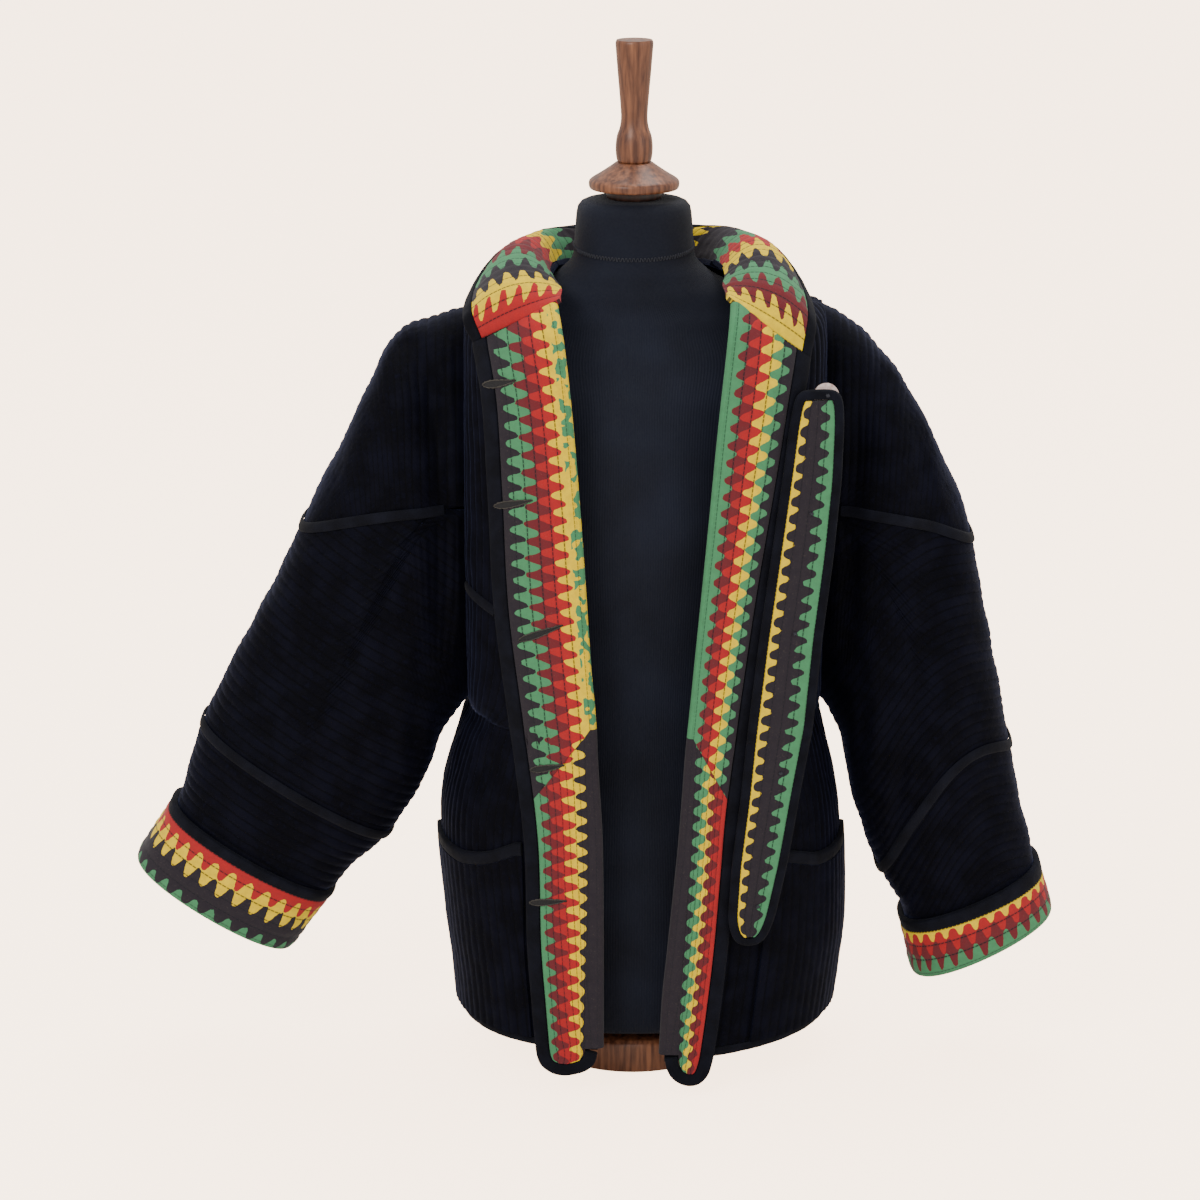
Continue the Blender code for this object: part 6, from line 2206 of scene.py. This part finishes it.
@dataclass(frozen=True)
class DressForm:
    """Jersey torso with a wooden neck, finial and base."""

    jersey: bpy.types.Material
    wood: bpy.types.Material
    dark_wood: bpy.types.Material
    thread: bpy.types.Material
    sides: int = 128
    rows: int = 150
    stitch_points: int = 440

    def section(self, row: Array, angles: Array) -> Array:
        """Points round the torso.

        Args:
            row: Height, half width, half depth, shift and roundness.
            angles: Angles round it.

        Returns:
            The points.
        """
        height, half_width, half_depth, forward, power = row
        c, s = np.cos(angles), np.sin(angles)
        x = half_width * np.sign(c) * np.abs(c) ** (2 / power)
        y = half_depth * np.sign(s) * np.abs(s) ** (2 / power) - forward
        return np.stack([x, y, np.full(x.shape, float(height))], axis=-1)

    def build(self) -> None:
        """Builds the torso, its seams and its wooden parts."""
        places = np.linspace(0, len(FORM_ROWS) - 1, 800)
        run = lengths(along(FORM_ROWS, places)[:, :3], 0)
        rows = along(FORM_ROWS, np.interp(np.linspace(0, run[-1], self.rows), run, places))
        rows[:, 0] = np.clip(rows[:, 0], FORM_ROWS[0][0], FORM_ROWS[-1][0])
        rings = [self.section(row, circle(self.sides)) for row in rows]
        low, high = (ring.mean(axis=0) + (ring - ring.mean(axis=0)) * 0.001 for ring in (rings[0], rings[-1]))
        made = self.solid("form_body_jersey", np.stack([low, *rings, high]))
        finished(made, self.jersey, "jersey", "form_body")
        self.neck_seam()
        neck = (0, NECK_AXIS_Y, 0)
        for node, profile, material, slot, place in (
            ("form_neck_ring", NECK_RING, self.dark_wood, "dark_wood", neck),
            ("form_neck_cap", NECK_CAP, self.wood, "wood", neck),
            ("form_finial", FINIAL, self.wood, "wood", neck),
            ("form_base", BASE, self.wood, "wood", (0, 0, 0)),
        ):
            spots = np.array(profile, float)
            smooth = along(spots, np.linspace(0, len(spots) - 1, 4 * len(spots)))
            smooth[:, 0] = np.clip(smooth[:, 0], spots[:, 0].min(), spots[:, 0].max())
            made = turned(f"{node}_wood", smooth, 72, place, (0, 0, 1), (1, 0, 0))
            finished(made, material, slot, node)

    def solid(self, name: str, rings: Array) -> bpy.types.Object:
        """A closed body through rings of points.

        Args:
            name: Its name.
            rings: Points, a row for each ring.

        Returns:
            The new object.
        """
        rows, columns = rings.shape[:2]
        index = np.arange(rows * columns).reshape(rows, columns)
        index = np.concatenate([index, index[:, :1]], axis=1)
        faces = np.stack([index[:-1, :-1], index[:-1, 1:], index[1:, 1:], index[1:, :-1]], axis=-1)
        made = linked(name, rings.reshape(-1, 3), faces.reshape(-1, 4).tolist())
        around = lengths(np.concatenate([rings, rings[:, :1]], axis=1), 1)[rows // 2, :-1] * MM
        around = np.broadcast_to(around, (rows, columns))
        mapped(made, "Print", np.stack([around, rings[..., 2] * MM], axis=-1))
        return smoothed(made, 50)

    def neck_seam(self) -> None:
        """Zigzag stitches round the base of the neck."""
        angles = np.linspace(0, 2 * math.pi, self.stitch_points)
        teeth = np.where(np.arange(self.stitch_points) % 4 < 2, 1.6, -1.6)
        heights = NECK_SEAM_Z + 6 * np.sin(angles) + teeth
        table = np.array(FORM_ROWS, float)
        path = []
        for angle, height in zip(angles, heights):
            row = [height, *(np.interp(height, table[:, 0], table[:, i]) for i in range(1, 5))]
            point = self.section(row, np.array([angle]))[0]
            path.append(point + unit(point * (1, 1, 0)) * 0.35)
        finished(threads("form_neck_stitches", [np.array(path)], 0.42, 5), self.thread, "jersey")


@dataclass(frozen=True)
class Studio:
    """Camera, soft lights and a plain pale surround."""

    focal_pixels: float = 3456.0
    frame_pixels: float = 1200.0
    pitch: float = 16.2
    place: tuple = (-0.0308, -3.100, 1.340)
    surround: tuple = (0.91, 0.835, 0.76)
    floor_reach: float = 90000.0
    floor_drop: float = 2.0
    glow: float = 5.0
    glow_colour: tuple = (1.0, 0.74, 0.54)

    def camera(self) -> None:
        """Sets the camera of the picture."""
        data = bpy.data.cameras.new("camera")
        data.sensor_width = data.sensor_height = 36.0
        data.lens = 36.0 * self.focal_pixels / self.frame_pixels
        data.clip_end = 200
        made = bpy.data.objects.new("camera", data)
        made.location = self.place
        made.rotation_euler = (math.radians(90 - self.pitch), 0, 0)
        bpy.context.scene.collection.objects.link(made)
        bpy.context.scene.camera = made

    def light(self, name: str, place: tuple, size: float, power: float, colour: tuple) -> None:
        """Adds a soft light that faces the jacket.

        Args:
            name: Its name.
            place: Where it stands, in metres.
            size: Its side.
            power: Its power in watts.
            colour: Its colour.
        """
        data = bpy.data.lights.new(name, "AREA")
        data.shape, data.size, data.energy, data.color = "SQUARE", size, power, colour
        made = bpy.data.objects.new(name, data)
        made.location = place
        towards = Vector((0, 0, 0.45)) - Vector(place)
        made.rotation_euler = towards.to_track_quat("-Z", "Y").to_euler()
        bpy.context.scene.collection.objects.link(made)

    def floor(self) -> None:
        """A plain pale floor that fills the view."""
        corners = np.array([(-1, -1, 0), (1, -1, 0), (1, 1, 0), (-1, 1, 0)]) * self.floor_reach
        made = linked("floor", corners - (0, 0, self.floor_drop), [(0, 1, 2, 3)])
        nodes = Nodes("pale_floor")
        speckle = nodes.band(nodes.noise(3, 2), 0.3, 0.7)
        dimmer = tuple(v * 0.985 for v in self.surround)
        path = nodes.add("ShaderNodeLightPath").outputs["Is Camera Ray"]
        made.data.materials.append(nodes.done(
            Base_Color=nodes.mix(speckle, self.surround, dimmer), Roughness=0.95, Specular_IOR_Level=0.05,
            Emission_Color=self.glow_colour, Emission_Strength=nodes.math("MULTIPLY", path, self.glow)))

    def build(self) -> None:
        """Builds the studio."""
        self.camera()
        self.floor()
        world = bpy.data.worlds.new("studio")
        world.use_nodes = True
        sky = world.node_tree.nodes["Background"].inputs
        sky["Color"].default_value, sky["Strength"].default_value = (1.0, 0.97, 0.94, 1), 0.92
        bpy.context.scene.world = world
        self.light("key", (-1.5, -2.6, 2.5), 1.3, 46, (1.0, 0.98, 0.95))
        self.light("fill", (2.4, -2.0, 1.4), 2.0, 12, (0.96, 0.98, 1.0))
        self.light("top", (0.3, 0.7, 2.9), 1.4, 30, (1.0, 0.98, 0.96))


def main() -> None:
    """Builds the dressed jacket and reports each piece."""
    velvet, tape = Velvet().material(), Tape().material()
    thread = Thread("sewing_thread").material()
    pale = Thread("buttonhole_thread", (0.030, 0.026, 0.022)).material()
    black, green, red, maroon, yellow = Ink.BLACK, Ink.GREEN, Ink.RED, Ink.MAROON, Ink.YELLOW
    fronts = {
        (Side.LEFT, "turned_front_upper"): Print(
            "print_left_upper", (yellow, red, maroon, green, black), (1.1, 1.1, 1.0, 1.2, 0.9),
            fleck=green),
        (Side.LEFT, "turned_front_lower"): Print(
            "print_left_lower", (black, yellow, red, maroon, green), (0.9, 1.1, 1.1, 0.9, 0.7), shift=1.7),
        (Side.RIGHT, "turned_front_upper"): Print(
            "print_right_upper", (green, maroon, red, yellow, green, black),
            (0.8, 0.9, 1.1, 0.9, 0.8, 0.8)),
        (Side.RIGHT, "turned_front_lower"): Print(
            "print_right_lower", (black, green, yellow, maroon, red), (0.7, 1.2, 0.4, 1.0, 0.9), shift=2.0),
    }
    collar = Print("print_collar", (
        red, yellow, black, green, maroon, red, yellow, green, black, black, green, black,
        black, yellow, black, black, green, red, yellow, black, green, maroon, yellow,
    ), tooth=0.34, tooth_pitch=14.0)
    cuffs = {
        Side.LEFT: Print("print_cuff_left", (red, yellow, black, black, green), (0.9, 1.1, 1.0, 0.9, 0.6)),
        Side.RIGHT: Print("print_cuff_right", (yellow, red, maroon, green), (0.25, 0.9, 1.0, 1.2)),
    }
    strip = Print("print_strip", (yellow, black, black, green), (0.3, 1.1, 1.0, 0.8), tooth=0.45)
    wood = Wood("turned_wood", (0.085, 0.026, 0.012), (0.30, 0.115, 0.052))
    dark_wood = Wood("dark_turned_wood", (0.018, 0.007, 0.004), (0.06, 0.022, 0.012))
    DressForm(Jersey().material(), wood.material(), dark_wood.material(), thread).build()
    VelvetBody(velvet).build()
    Hems(tape).build()
    Sleeves(velvet).build()
    Cuffs(tape, cuffs).build()
    TurnedFronts(tape, fronts).build()
    Collar(tape, collar).build()
    Pockets(velvet, tape).build()
    SeamTapes(tape).build()
    ButtonStrip(tape, strip, Shell().material(), thread).build()
    Buttonholes(pale, Thread("buttonhole_shadow", (0.002, 0.002, 0.003)).material()).build()
    Studio().build()


if __name__ == "__main__":
    logging.basicConfig(level=logging.INFO, format="%(message)s")
    main()
